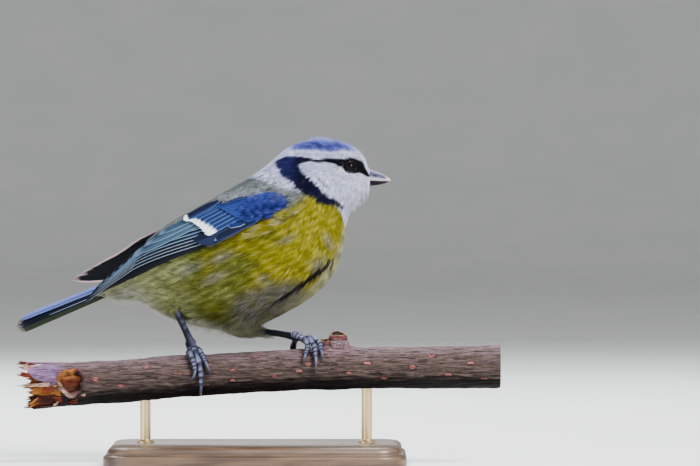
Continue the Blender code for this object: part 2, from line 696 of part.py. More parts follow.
# Each leg: knee end and foot end of the tarsus, and the thigh's path with its radii.
LEGS = {
    "right": {"tarsus": ((-23.0, -6.4, 44.4), (-18.4, -1.6, 34.6)),
              "thigh": ((-17.0, -3.0, 52.0), (-20.4, -5.6, 48.2), (-22.9, -6.35, 44.7)),
              "thigh_radii": (5.4, 4.2, 2.0), "toes": RIGHT_TOES, "claws": RIGHT_CLAWS},
    "left": {"tarsus": ((1.4, 4.8, 36.9), (10.2, 0.6, 35.9)),
             "thigh": ((-10.0, 6.4, 44.0), (-5.0, 6.2, 38.4), (1.0, 5.0, 37.0)),
             "thigh_radii": (5.6, 3.6, 1.9), "toes": LEFT_TOES, "claws": LEFT_CLAWS},
}


def on_branch(rows):
    """Points over the bark from rows of x, turn in degrees and height."""
    return [perch_place(x, math.radians(turn), lift) for x, turn, lift in rows]


def toe_solid(name, path, finish, count=9):
    """A toe with a swelling at each joint, ended flat where its claw starts."""
    way = smooth_path(path, count)
    shares = np.linspace(0, 1, count)
    radii = TOE_RADIUS * (1 - 0.22 * shares) * (1 + 0.1 * np.cos(shares * 5 * math.pi))
    return solid(name, *loft(tube(way, radii, 8, up=(1.0, 0.2, 0.1))), finish)


def make_foot(side, leg, finishes):
    """The foot's pad and toes as one piece, and each claw as its own."""
    end = np.array(leg["tarsus"][1])
    ahead = unit(end - leg["tarsus"][0])
    paths = {name: on_branch(rows) for name, rows in leg["toes"].items()}
    heel = end + ahead * (GAP + 0.1)
    knuckle = np.mean([path[0] for path in paths.values()], axis=0)
    foot = solid("foot_" + side, *loft(tube([heel, (heel + knuckle) / 2, knuckle, knuckle + ahead * 0.4],
                                            (1.0, 1.5, 1.6, 1.0), 10, up=(1.0, 0.3, 0.2))), finishes["leg"])
    toes = [toe_solid("toe", path, finishes["leg"]) for path in paths.values()]
    combine(foot, toes, "UNION")
    combine(foot, [tarsus_solid("tarsus_clearance", leg, finishes["leg"], GAP)], "DIFFERENCE")
    shade_round(foot)
    for name, rows in leg["claws"].items():
        toe_end = np.array(paths[name][-1])
        way = [toe_end, *on_branch(rows)]
        way[0] = toe_end + unit(way[1] - toe_end) * (GAP + 0.15)
        curve = smooth_path(way, 6)
        radii = CLAW_RADIUS * np.array([1.0, 0.92, 0.78, 0.6, 0.4, 0.16])
        claw = solid(f"claw_{side}_{name}", *loft(tube(curve, radii, 7, up=(1.0, 0.2, 0.1))),
                     finishes["claw"])
        shade_round(claw)


def tarsus_solid(name, leg, finish, grow=0.0):
    """The shank between knee and foot, with a raised ridge for each scute."""
    top, end = (np.array(p) for p in leg["tarsus"])
    shares = np.linspace(0, 1, 15)
    scutes = 1 + 0.09 * (np.arange(15) % 2)
    flare = 1 + 0.25 * np.abs(2 * shares - 1) ** 3
    path = top + np.outer(shares, end + unit(end - top) * grow - top)
    radii = TARSUS_RADIUS * scutes * flare + grow
    return solid(name, *loft(tube(path, radii, 8, up=(0.3, 1.0, 0.2))), finish)


def make_leg(side, leg, finishes):
    """Feathered thigh and scaled tarsus of one leg."""
    tarsus = tarsus_solid("tarsus_" + side, leg, finishes["leg"])
    combine(tarsus, [body_skin("torso_clearance", finishes["leg"], GAP)], "DIFFERENCE")
    shade_round(tarsus)
    thigh_path = smooth_path(leg["thigh"], 7)
    radii = np.interp(np.linspace(0, 2, 7), range(3), leg["thigh_radii"])
    thigh = solid("thigh_" + side, *loft(tube(thigh_path, radii, 14, up=(0.3, 1.0, 0.2))),
                  finishes["belly"])
    combine(thigh, [body_skin("torso_clearance", finishes["belly"], GAP),
                    tarsus_solid("tarsus_clearance", leg, finishes["belly"], GAP)], "DIFFERENCE")
    shade_round(thigh)


def make_stand(finishes):
    """A flat base with rounded corners and eased edges, and the two rods that carry the branch."""
    corner, ease = 8.0, 0.8
    rings = []
    for z, inset in ((0.0, ease), (ease, 0.0), (STAND_HEIGHT - ease, 0.0), (STAND_HEIGHT, ease)):
        ring = []
        for quarter in range(4):
            for step in range(5):
                turn = math.pi / 2 * (quarter + step / 4)
                along = STAND_LENGTH / 2 - corner
                across = STAND_BREADTH / 2 - corner
                sign_x = 1 if quarter in (0, 3) else -1
                sign_y = 1 if quarter in (0, 1) else -1
                ring.append((sign_x * along + (corner - inset) * math.cos(turn),
                             sign_y * across + (corner - inset) * math.sin(turn), z))
        rings.append(np.array(ring))
    base = solid("stand_base", *loft(rings), finishes["base"])
    sockets = [cylinder("socket", x, STAND_HEIGHT - ROD_SOCKET - GAP, STAND_HEIGHT + 2,
                        ROD_RADIUS + GAP, finishes["base"]) for x in ROD_PLACES.values()]
    combine(base, sockets, "DIFFERENCE")
    for name, x in ROD_PLACES.items():
        rod = cylinder(name, x, STAND_HEIGHT - ROD_SOCKET, perch_bottom(x) + ROD_SOCKET,
                       ROD_RADIUS, finishes["rod"])
        shade_round(rod)


def main():
    clear_scene()
    finishes = {
        "belly": material("belly_plumage", (0.52, 0.50, 0.10), 0.85),
        "collar": material("collar_plumage", (0.07, 0.08, 0.22), 0.8),
        "cheek": material("head_plumage", (0.78, 0.79, 0.90), 0.85),
        "wing": material("wing_feathers", (0.12, 0.22, 0.50), 0.6),
        "tail": material("tail_feathers", (0.14, 0.24, 0.48), 0.6),
        "bill": material("bill_horn", (0.09, 0.09, 0.13), 0.35),
        "eye": material("eye_gloss", (0.01, 0.01, 0.012), 0.05),
        "leg": material("leg_skin", (0.20, 0.24, 0.42), 0.5),
        "claw": material("claw_horn", (0.15, 0.16, 0.24), 0.35),
        "bark": material("bark", (0.24, 0.16, 0.14), 0.9),
        "base": material("stand_base", (0.10, 0.07, 0.05), 0.45),
        "rod": material("stand_rod", (0.72, 0.60, 0.36), 0.3, 1.0),
    }
    head = make_body(finishes)
    make_eyes(head, finishes)
    make_bill(finishes)
    make_wing("wing_right", right_wing_place, finishes["wing"])
    make_wing("wing_left", left_wing_place, finishes["wing"], SPREAD_PRIMARIES)
    make_tail(finishes["tail"])
    make_perch(finishes)
    for side, leg in LEGS.items():
        make_leg(side, leg, finishes)
        make_foot(side, leg, finishes)
    make_stand(finishes)


main()
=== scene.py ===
# %% [markdown]
# # A blue tit on a cut length of branch
#
# This lesson dresses the measured model of a small songbird. The measured solids give the outline;
# here we add what the eye enjoys: thousands of soft body feathers, the blue vanes of the wings and
# the tail, a wet eye, scaled toes, cracked bark and a small wooden stand. We work in millimetres,
# because a feather is easier to think about that way, and turn to metres when a mesh is made.

# %% Load the measured model
import json
import math

import bpy
import numpy as np
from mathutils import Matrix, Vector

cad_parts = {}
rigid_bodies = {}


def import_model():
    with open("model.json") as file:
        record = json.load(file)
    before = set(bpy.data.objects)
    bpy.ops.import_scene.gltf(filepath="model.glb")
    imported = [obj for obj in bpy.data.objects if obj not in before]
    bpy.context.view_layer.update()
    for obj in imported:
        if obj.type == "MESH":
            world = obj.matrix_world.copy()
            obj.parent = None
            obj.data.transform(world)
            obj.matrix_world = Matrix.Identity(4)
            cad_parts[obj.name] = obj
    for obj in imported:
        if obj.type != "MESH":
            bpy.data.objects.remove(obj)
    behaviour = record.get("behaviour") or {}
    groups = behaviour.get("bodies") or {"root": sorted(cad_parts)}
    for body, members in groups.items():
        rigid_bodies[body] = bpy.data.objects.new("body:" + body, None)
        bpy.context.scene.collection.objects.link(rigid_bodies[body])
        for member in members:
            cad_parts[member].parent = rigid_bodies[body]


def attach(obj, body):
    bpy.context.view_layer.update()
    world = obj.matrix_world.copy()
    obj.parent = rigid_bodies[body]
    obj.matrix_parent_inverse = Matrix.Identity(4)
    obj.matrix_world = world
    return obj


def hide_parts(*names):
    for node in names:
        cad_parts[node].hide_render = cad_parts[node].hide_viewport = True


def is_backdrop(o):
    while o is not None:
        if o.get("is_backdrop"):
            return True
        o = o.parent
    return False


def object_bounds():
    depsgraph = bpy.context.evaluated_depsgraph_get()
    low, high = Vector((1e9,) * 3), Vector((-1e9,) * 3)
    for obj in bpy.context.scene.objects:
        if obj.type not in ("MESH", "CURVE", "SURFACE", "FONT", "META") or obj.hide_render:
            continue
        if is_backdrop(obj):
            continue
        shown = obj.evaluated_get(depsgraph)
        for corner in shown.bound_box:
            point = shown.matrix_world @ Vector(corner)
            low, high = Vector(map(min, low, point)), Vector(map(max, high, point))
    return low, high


MM = 0.001
TAU = 2 * math.pi
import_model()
cad_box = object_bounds()
print("measured model, mm:", [round((b - a) / MM, 1) for a, b in zip(*cad_box)])

# %% [markdown]
# A camera comes first, so that every piece can be judged in its view. The picture was taken with a
# long lens, level with the bird and square to its side. A long lens flattens perspective, which is
# why we stand far back with a narrow view instead of close with a wide one.

# %% Camera
PICTURE_WIDTH = 196.0
LOOK_AT = (26.3, 0.0, 64.8)
CAMERA_DISTANCE = 1700.0
CAMERA_RISE = 0.6

camera_data = bpy.data.cameras.new("camera")
camera_data.sensor_width = 36.0
camera_data.lens = 36.0 * CAMERA_DISTANCE / PICTURE_WIDTH
camera_data.clip_start, camera_data.clip_end = 0.1, 30.0
camera = bpy.data.objects.new("camera", camera_data)
bpy.context.scene.collection.objects.link(camera)
rise = math.radians(CAMERA_RISE)
camera.location = [c * MM for c in (LOOK_AT[0], -CAMERA_DISTANCE * math.cos(rise),
                                    LOOK_AT[2] + CAMERA_DISTANCE * math.sin(rise))]
camera.rotation_euler = (math.pi / 2 - rise, 0.0, 0.0)
bpy.context.scene.camera = camera
print("lens, mm:", round(camera_data.lens))

# %% [markdown]
# Soft studio light: a large panel high on the right in front of the bird gives the shape and the
# spark in the eye, a weaker one fills from the left, and one behind and above lights the crown and
# the edges of the back. Large panels make soft shadows, as an overcast sky does.

# %% Lights and surroundings


def light_panel(name, place, target, size, watts, colour):
    """A square lamp at a place in millimetres, turned towards a target."""
    data = bpy.data.lights.new(name, "AREA")
    data.shape = "SQUARE"
    data.size = size * MM
    data.energy = watts
    data.color = colour
    lamp = bpy.data.objects.new(name, data)
    bpy.context.scene.collection.objects.link(lamp)
    lamp.location = [c * MM for c in place]
    way = np.subtract(target, place)
    lamp.rotation_euler = (math.acos(-way[2] / np.linalg.norm(way)), 0.0,
                           math.atan2(way[1], way[0]) - math.pi / 2)
    return lamp


BIRD_MIDDLE = (0.0, 0.0, 60.0)
light_panel("key_light", (420, -560, 640), BIRD_MIDDLE, 420, 27.5, (0.98, 0.98, 1.0))
light_panel("fill_light", (-620, -500, 260), BIRD_MIDDLE, 520, 3.4, (0.88, 0.93, 1.0))
light_panel("back_light", (-120, 520, 620), BIRD_MIDDLE, 420, 14.0, (0.92, 0.95, 1.0))

world = bpy.data.worlds.new("studio")
world.use_nodes = True
studio = world.node_tree.nodes["Background"]
studio.inputs["Color"].default_value = (0.78, 0.80, 0.80, 1.0)
studio.inputs["Strength"].default_value = 0.55
bpy.context.scene.world = world

# %% [markdown]
# Finishes are written as sums. A small class stands for one socket of a material and understands
# plus, minus, times and so on, so a mask reads like arithmetic instead of a web of nodes. Colours
# go through Mix and Vector Math nodes, because a Math node would turn them grey.

# %% Sums of sockets


class Wire:
    """One output socket of a material, on which sums can be written."""

    def __init__(self, finish, socket):
        self.finish = finish
        self.socket = socket

    def sum(self, operation, *terms):
        return self.finish.node("ShaderNodeMath", {"operation": operation}, dict(enumerate(terms)))

    def __add__(self, other):
        return self.sum("ADD", self, other)

    def __sub__(self, other):
        return self.sum("SUBTRACT", self, other)

    def __mul__(self, other):
        return self.sum("MULTIPLY", self, other)

    def abs(self):
        return self.sum("ABSOLUTE", self)

    def wave(self):
        return self.sum("SINE", self)

    def step(self, low, high):
        """0 below low and 1 above high, with a smooth rise between them."""
        return self.finish.node("ShaderNodeMapRange", {"interpolation_type": "SMOOTHSTEP"},
                                {"Value": self, "From Min": low, "From Max": high})


class Finish:
    """A material whose nodes are made from sums and short calls."""

    def __init__(self, name, roughness=0.6, **sockets):
        self.material = bpy.data.materials.new(name)
        self.material.use_nodes = True
        self.tree = self.material.node_tree
        self.shader = self.tree.nodes["Principled BSDF"]
        self.shader.inputs["Roughness"].default_value = roughness
        for socket, value in sockets.items():
            self.shader.inputs[socket.replace("_", " ")].default_value = value

    def plug(self, socket, value):
        """Sets a socket to a number or colour, or links a wire to it."""
        if isinstance(value, Wire):
            self.tree.links.new(value.socket, socket)
        elif isinstance(value, (tuple, list)) and socket.type == "RGBA" and len(value) == 3:
            socket.default_value = (*value, 1.0)
        else:
            socket.default_value = value

    def node(self, kind, settings=None, sockets=None, output=0):
        """Makes one node, with its settings first and then its sockets, and returns its output."""
        made = self.tree.nodes.new(kind)
        for name, value in (settings or {}).items():
            if name == "stops":
                ramp = made.color_ramp
                while len(ramp.elements) < len(value):
                    ramp.elements.new(0.5)
                for stop, (place, colour) in zip(ramp.elements, value):
                    stop.position = place
                    stop.color = (*colour, 1.0)
            else:
                setattr(made, name, value)
        for name, value in (sockets or {}).items():
            self.plug(made.inputs[name], value)
        return Wire(self, made.outputs[output])

    def mix(self, share, first, second, blend="MIX"):
        """One colour where the share is 0 and another where it is 1."""
        made = self.tree.nodes.new("ShaderNodeMix")
        made.data_type = "RGBA"
        made.blend_type = blend
        self.plug(made.inputs[0], share)
        self.plug(made.inputs[6], first)
        self.plug(made.inputs[7], second)
        return Wire(self, made.outputs[2])

    def ramp(self, share, *stops):
        return self.node("ShaderNodeValToRGB", {"stops": stops}, {"Fac": share})

    def place(self):
        """The spot on the model in millimetres."""
        spot = self.node("ShaderNodeTexCoord", output="Object")
        return self.node("ShaderNodeVectorMath", {"operation": "SCALE"}, {0: spot, "Scale": 1000.0})

    def stretch(self, spot, factors):
        return self.node("ShaderNodeVectorMath", {"operation": "MULTIPLY"}, {0: spot, 1: factors})

    def split(self, spot):
        made = self.tree.nodes.new("ShaderNodeSeparateXYZ")
        self.plug(made.inputs[0], spot)
        return [Wire(self, socket) for socket in made.outputs]

    def noise(self, spot, scale, detail=3.0, roughness=0.55):
        return self.node("ShaderNodeTexNoise", None, {"Vector": spot, "Scale": scale, "Detail": detail,
                                                      "Roughness": roughness})

    def cells(self, spot, scale, feature="F1"):
        return self.node("ShaderNodeTexVoronoi", {"feature": feature}, {"Vector": spot, "Scale": scale})

    def painted(self, name="marking"):
        """The colour that was worked out for each point of the mesh."""
        return self.node("ShaderNodeAttribute", {"attribute_name": name}, output="Color")

    def bump(self, height, strength, distance):
        made = self.node("ShaderNodeBump", None, {"Height": height, "Strength": strength,
                                                 "Distance": distance * MM}, "Normal")
        self.plug(self.shader.inputs["Normal"], made)

    def set(self, **sockets):
        for socket, value in sockets.items():
            self.plug(self.shader.inputs[socket.replace("_", " ")], value)
        return self


# %% [markdown]
# The floor is a plain pale sheet that sweeps up far away, as in a photographer's studio, so no
# horizon shows from any side. It isn't part of the model, so it is only marked as the stage.

# %% Floor
FLAT_REACH, SWEEP_REACH, SWEEP_HEIGHT, FLOOR_SIDES, SWEEP_RINGS = 2.7, 1.3, 2.4, 72, 14
sweep = [(FLAT_REACH + SWEEP_REACH * math.sin(t), SWEEP_HEIGHT * (1 - math.cos(t)))
         for t in np.linspace(0, math.pi / 2, SWEEP_RINGS)]
floor_points = [(r * math.cos(a), r * math.sin(a), z)
                for r, z in sweep for a in np.arange(FLOOR_SIDES) * TAU / FLOOR_SIDES]
floor_faces = [list(range(FLOOR_SIDES))]
for ring in range(SWEEP_RINGS - 1):
    for k in range(FLOOR_SIDES):
        low, high = ring * FLOOR_SIDES, (ring + 1) * FLOOR_SIDES
        after = (k + 1) % FLOOR_SIDES
        floor_faces.append((low + k, high + k, high + after, low + after))
floor_mesh = bpy.data.meshes.new("floor")
floor_mesh.from_pydata(floor_points, [], floor_faces)
floor_mesh.shade_smooth()
floor = bpy.data.objects.new("floor", floor_mesh)
bpy.context.scene.collection.objects.link(floor)
floor_finish = Finish("pale_floor", roughness=0.8)
grain = floor_finish.noise(floor_finish.place(), 0.02)
floor_finish.set(Base_Color=floor_finish.ramp(grain, (0.3, (0.70, 0.71, 0.70)), (0.7, (0.75, 0.75, 0.74))))
floor_mesh.materials.append(floor_finish.material)
floor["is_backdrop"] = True
print("floor, m across:", 2 * (FLAT_REACH + SWEEP_REACH))

# %% [markdown]
# Every piece is made the same way: points in millimetres, triangles, and what belongs to each
# point. The colour of each point is worked out in this script and kept on the mesh as "marking".

# %% Mesh helpers


def unit(vectors):
    return vectors / np.linalg.norm(vectors, axis=-1, keepdims=True)


def smooth_step(low, high, value):
    share = np.clip((np.asarray(value, float) - low) / (high - low), 0.0, 1.0)
    return share * share * (3 - 2 * share)


def blend(share, first, second):
    """First colours where the share is 0 and second ones where it is 1."""
    share = np.asarray(share)[..., None]
    return np.asarray(first) * (1 - share) + np.asarray(second) * share


def mesh_piece(name, points, triangles, finish, nodes=(), slot=None, marking=None, bake_map=None,
               vane_map=None, smooth=True):
    """A piece of the model from points in millimetres, which rides on the only body."""
    triangles = np.asarray(triangles, dtype=np.int32)
    mesh = bpy.data.meshes.new(name)
    mesh.vertices.add(len(points))
    mesh.vertices.foreach_set("co", (np.asarray(points) * MM).astype(np.float32).ravel())
    mesh.loops.add(triangles.size)
    mesh.loops.foreach_set("vertex_index", triangles.ravel())
    mesh.polygons.add(len(triangles))
    mesh.polygons.foreach_set("loop_start", np.arange(0, triangles.size, 3, dtype=np.int32))
    mesh.update(calc_edges=True)
    if marking is not None:
        layer = mesh.color_attributes.new("marking", "FLOAT_COLOR", "POINT")
        colours = np.ones((len(points), 4), dtype=np.float32)
        colours[:, :3] = np.clip(marking, 0.0, 1.0)
        layer.data.foreach_set("color", colours.ravel())
    for label, values in (("OFBake", bake_map), ("vane", vane_map)):
        if values is not None:
            layer = mesh.uv_layers.new(name=label)
            layer.data.foreach_set("uv", np.asarray(values)[triangles.ravel()].astype(np.float32).ravel())
    mesh.validate()
    if smooth:
        mesh.shade_smooth()
    mesh.materials.append(finish.material)
    piece = bpy.data.objects.new(name, mesh)
    bpy.context.scene.collection.objects.link(piece)
    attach(piece, "root")
    if nodes:
        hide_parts(*nodes)
    print(f"{name}: {len(triangles)} triangles")
    return piece


def sheet_triangles(rows, columns, closed=False):
    """Triangles of a grid of points, wrapped round where it is closed."""
    wrap = columns if closed else columns - 1
    r, c = np.meshgrid(np.arange(rows - 1), np.arange(wrap), indexing="ij")
    a = (r * columns + c).ravel()
    b = (r * columns + (c + 1) % columns).ravel()
    return np.concatenate([np.stack([a, b, b + columns], 1), np.stack([a, b + columns, a + columns], 1)])


def capped_triangles(rows, sides):
    """Triangles of a closed tube. The middles of its two ends come after its rings."""
    ring, count, end = np.arange(sides), rows * sides, (rows - 1) * sides
    after = (ring + 1) % sides
    return np.concatenate([sheet_triangles(rows, sides, closed=True),
                           np.stack([np.full(sides, count), after, ring], 1),
                           np.stack([np.full(sides, count + 1), end + ring, end + after], 1)])


def slab_triangles(rows, columns):
    """Triangles of a thin slab: a grid on top, the same grid below it, and walls round them."""
    sheet, count = sheet_triangles(rows, columns), rows * columns
    rim = np.concatenate([np.arange(columns), np.arange(1, rows) * columns + columns - 1,
                          count - 2 - np.arange(columns - 1), np.arange(rows - 2, 0, -1) * columns])
    after = np.roll(rim, -1)
    walls = np.concatenate([np.stack([rim, after, after + count], 1), np.stack([rim, after + count, rim + count], 1)])
    return np.concatenate([sheet, sheet[:, ::-1] + count, walls[:, ::-1]])


def joined(parts):
    """Points, triangles and further columns of many small meshes as one."""
    start, triangles = 0, []
    for part in parts:
        triangles.append(np.asarray(part[1]) + start)
        start += len(part[0])
    columns = [np.concatenate([part[k] for part in parts]) for k in range(len(parts[0])) if k != 1]
    return (columns[0], np.concatenate(triangles), *columns[1:])


def spline_rows(table, places):
    """Rows of a table at many places, on smooth curves that go straight on past both ends."""
    table = np.asarray(table, float)
    places = np.asarray(places, float)
    last = len(table) - 1
    inside = np.clip(places, 0, last)
    i = np.minimum(inside.astype(int), last - 1)
    t = (inside - i)[..., None]
    before, start = table[np.maximum(i - 1, 0)], table[i]
    end, after = table[i + 1], table[np.minimum(i + 2, last)]
    value = 0.5 * (2 * start + (end - before) * t + (2 * before - 5 * start + 4 * end - after) * t ** 2
                   + (3 * start - before - 3 * end + after) * t ** 3)
    past = (places - inside)[..., None]
    return value + np.where(past < 0, past * (table[1] - table[0]), past * (table[-1] - table[-2]))


# %% [markdown]
# The body is one egg-like form that fans round the throat: its stations give where the belly and
# the back are, and how broad the bird is there. The measured solids reach the tips of the plumage,
# so the skin lies below them by the depth of the plumage, and the feathers fill the space between.

# %% Body form
BODY_YAW = math.radians(18)
BODY_MID = np.array([-10.0, 1.5, 0.0])
BODY_STATIONS = np.array([
    (-40.8, 46.0, -42.0, 50.6, 3.4),
    (-35.8, 45.7, -38.4, 53.6, 5.4),
    (-31.0, 44.8, -35.4, 57.2, 8.0),
    (-26.2, 41.6, -32.2, 60.8, 10.9),
    (-19.6, 39.2, -28.4, 64.6, 13.8),
    (-11.6, 37.6, -23.2, 68.4, 16.2),
    (-3.0, 37.2, -17.0, 71.8, 17.6),
    (6.0, 41.1, -9.8, 75.9, 17.9),
    (14.6, 46.1, -3.4, 79.6, 17.2),
    (20.9, 52.2, 1.4, 82.8, 15.4),
    (24.2, 59.3, 5.4, 86.2, 13.0),
    (25.3, 65.8, 9.2, 89.0, 10.9),
    (26.7, 70.8, 13.8, 90.6, 9.7),
    (28.9, 73.4, 19.2, 90.8, 8.9),
    (30.4, 75.0, 24.6, 89.5, 7.5),
    (31.3, 76.5, 28.8, 87.2, 5.4),
    (31.9, 77.7, 31.7, 82.9, 2.3),
])
YAW_SHARE = np.array([1.0] * 9 + [0.8, 0.5, 0.2] + [0.0] * 5)
PLUMAGE_STATIONS = ((0, 0.7), (3, 1.2), (9, 1.1), (11, 0.7), (13, 0.45), (16, 0.35))
LAST_STATION = len(BODY_STATIONS) - 1


def middle_line():
    """Where the middle plane of the body lies in Y at each station."""
    middle = (BODY_STATIONS[:, 0] + BODY_STATIONS[:, 2]) / 2
    slope = np.tan(YAW_SHARE * BODY_YAW)
    way = np.concatenate([[0.0], np.cumsum(-np.diff(middle) * (slope[1:] + slope[:-1]) / 2)])
    return way - np.interp(BODY_MID[0], middle, way) + BODY_MID[1]


BODY_TABLE = np.column_stack([BODY_STATIONS, YAW_SHARE * BODY_YAW, middle_line()])


def body_point(station, turn, lift):
    """Points of the body. Turn is 0 at its upper edge and -90 degrees at the near side."""
    row = spline_rows(BODY_TABLE, station)
    under_x, under_z, upper_x, upper_z, half, yaw, y = np.moveaxis(row, -1, 0)
    centre = np.stack([(under_x + upper_x) / 2, y, (under_z + upper_z) / 2], -1)
    upright = np.stack([upper_x - under_x, (under_x - upper_x) * np.tan(yaw), upper_z - under_z], -1) / 2
    depth = np.linalg.norm(upright, axis=-1, keepdims=True)
    lift = np.asarray(lift)[..., None]
    side = np.stack([np.sin(yaw), np.cos(yaw), np.zeros_like(yaw)], -1)
    across = np.maximum(half, 0.4)[..., None] + lift
    return centre + upright * (1 + lift / depth) * np.cos(turn)[..., None] + side * across * np.sin(turn)[..., None]


def plumage_depth(station):
    return np.interp(station, *np.transpose(PLUMAGE_STATIONS))


def skin_point(station, turn, lift):
    """Points at a height over the skin, which lies below the measured solid."""
    return body_point(station, turn, lift - plumage_depth(station))


print("stations of the body:", len(BODY_STATIONS))

# %% [markdown]
# A blue tit's pattern is a set of bands and patches: a white ring round a blue cap, a dark line
# through the eye, a navy collar, a yellow front with one dark streak, and a grey-green back. Each
# band is a line with a half width at each of its points, given as seen from the side, and the far
# side repeats the near one. Real feathers blur the edges, so the coat later shifts them a little.

# %% Markings
WHITE = np.array([0.74, 0.77, 1.0])
LILAC = np.array([0.52, 0.53, 0.86])
CAP_BLUE = np.array([0.108, 0.138, 0.55])
NAVY = np.array([0.003, 0.0035, 0.022])
INK = np.array([0.004, 0.004, 0.007])
MANTLE = np.array([0.165, 0.185, 0.190])
YELLOW = np.array([0.250, 0.222, 0.006])
OLIVE = np.array([0.125, 0.136, 0.014])
FLANK = np.array([0.295, 0.312, 0.130])
VENT = np.array([0.34, 0.345, 0.25])
ASH = np.array([0.200, 0.196, 0.225])
EYE_BAND = ((6.4, 84.4, 1.3), (8.6, 84.8, 1.6), (11.2, 85.2, 1.3), (13.2, 85.4, 0.8), (15.1, 85.4, 0.5),
            (16.9, 84.9, 0.4), (18.8, 85.2, 0.55), (21.6, 84.9, 0.7), (23.9, 84.4, 1.25), (26.6, 83.7, 2.25),
            (28.4, 83.4, 1.85), (29.9, 82.3, 1.0), (31.4, 80.9, 0.5))
COLLAR_BAND = ((8.8, 83.7, 2.8), (9.9, 81.8, 2.6), (11.5, 80.0, 2.4), (13.6, 78.1, 2.1), (15.8, 76.6, 1.9),
               (17.6, 74.9, 1.65), (19.7, 73.8, 1.3), (22.5, 73.0, 0.8), (24.1, 71.8, 0.5))
CAP_LINE = ((9.0, 88.4), (10.4, 88.3), (13.7, 88.1), (16.5, 88.2), (18.3, 87.7), (21.1, 87.6), (23.9, 87.9),
            (26.0, 87.7), (28.0, 87.4))
CHEEK_FOLD = ((16.6, 81.2, 0.12), (17.9, 79.7, 0.22), (19.8, 77.4, 0.14))
NAPE_LINE = ((-4.0, 82.0), (0.2, 80.2), (1.8, 78.9), (4.5, 78.2), (8.0, 77.2), (11.5, 76.4), (14.0, 76.6))
FRONT_LINE = ((6.0, 76.0), (10.2, 77.2), (12.9, 76.9), (15.7, 75.3), (19.4, 73.6), (22.7, 72.0), (23.8, 70.6),
              (24.4, 68.6), (25.0, 66.0))
BELLY_STREAK = ((22.0, 56.9, 0.3), (19.0, 54.4, 0.65), (14.0, 50.7, 0.75), (8.4, 46.8, 0.6), (3.2, 43.2, 0.15))
PARTINGS = ((8.8, 63.0, 2.2, 0.9), (-9.4, 58.2, 3.0, 1.3), (17.9, 55.0, 2.2, 2.6), (-11.5, 52.3, 3.4, 1.4),
            (-18.0, 55.0, 3.2, 1.2), (2.0, 52.0, 1.6, 1.0), (20.5, 62.0, 1.0, 2.4))
PALE_PATCH = ((11.0, 48.2, 3.0), (5.0, 46.4, 4.6), (-2.0, 43.6, 4.4))


def clumps(x, y, seed, pitch):
    """A smooth wandering number around 0, with a pitch in millimetres: how the coat falls in clumps."""
    dice = np.random.default_rng(seed)
    total = np.zeros(np.shape(x))
    for _ in range(7):
        heading, size = dice.uniform(0, TAU), TAU / (pitch * dice.uniform(0.7, 1.7))
        total += np.sin(size * (x * math.cos(heading) + y * math.sin(heading)) + dice.uniform(0, TAU))
    return total / 2.6


def band(line, x, z, soft):
    """1 on a band and 0 off it. Each point of its line has a half width."""
    line = np.asarray(line)
    inside = np.full(np.shape(x), -1e9)
    for start, end in zip(line[:-1], line[1:]):
        way = end[:2] - start[:2]
        share = np.clip(((x - start[0]) * way[0] + (z - start[1]) * way[1]) / (way @ way), 0, 1)
        away = np.hypot(x - start[0] - share * way[0], z - start[1] - share * way[1])
        inside = np.maximum(inside, start[2] + share * (end[2] - start[2]) - away)
    return smooth_step(-soft, soft, inside)


def above(line, x, z, soft):
    return smooth_step(-soft, soft, z - np.interp(x, *np.transpose(line)))


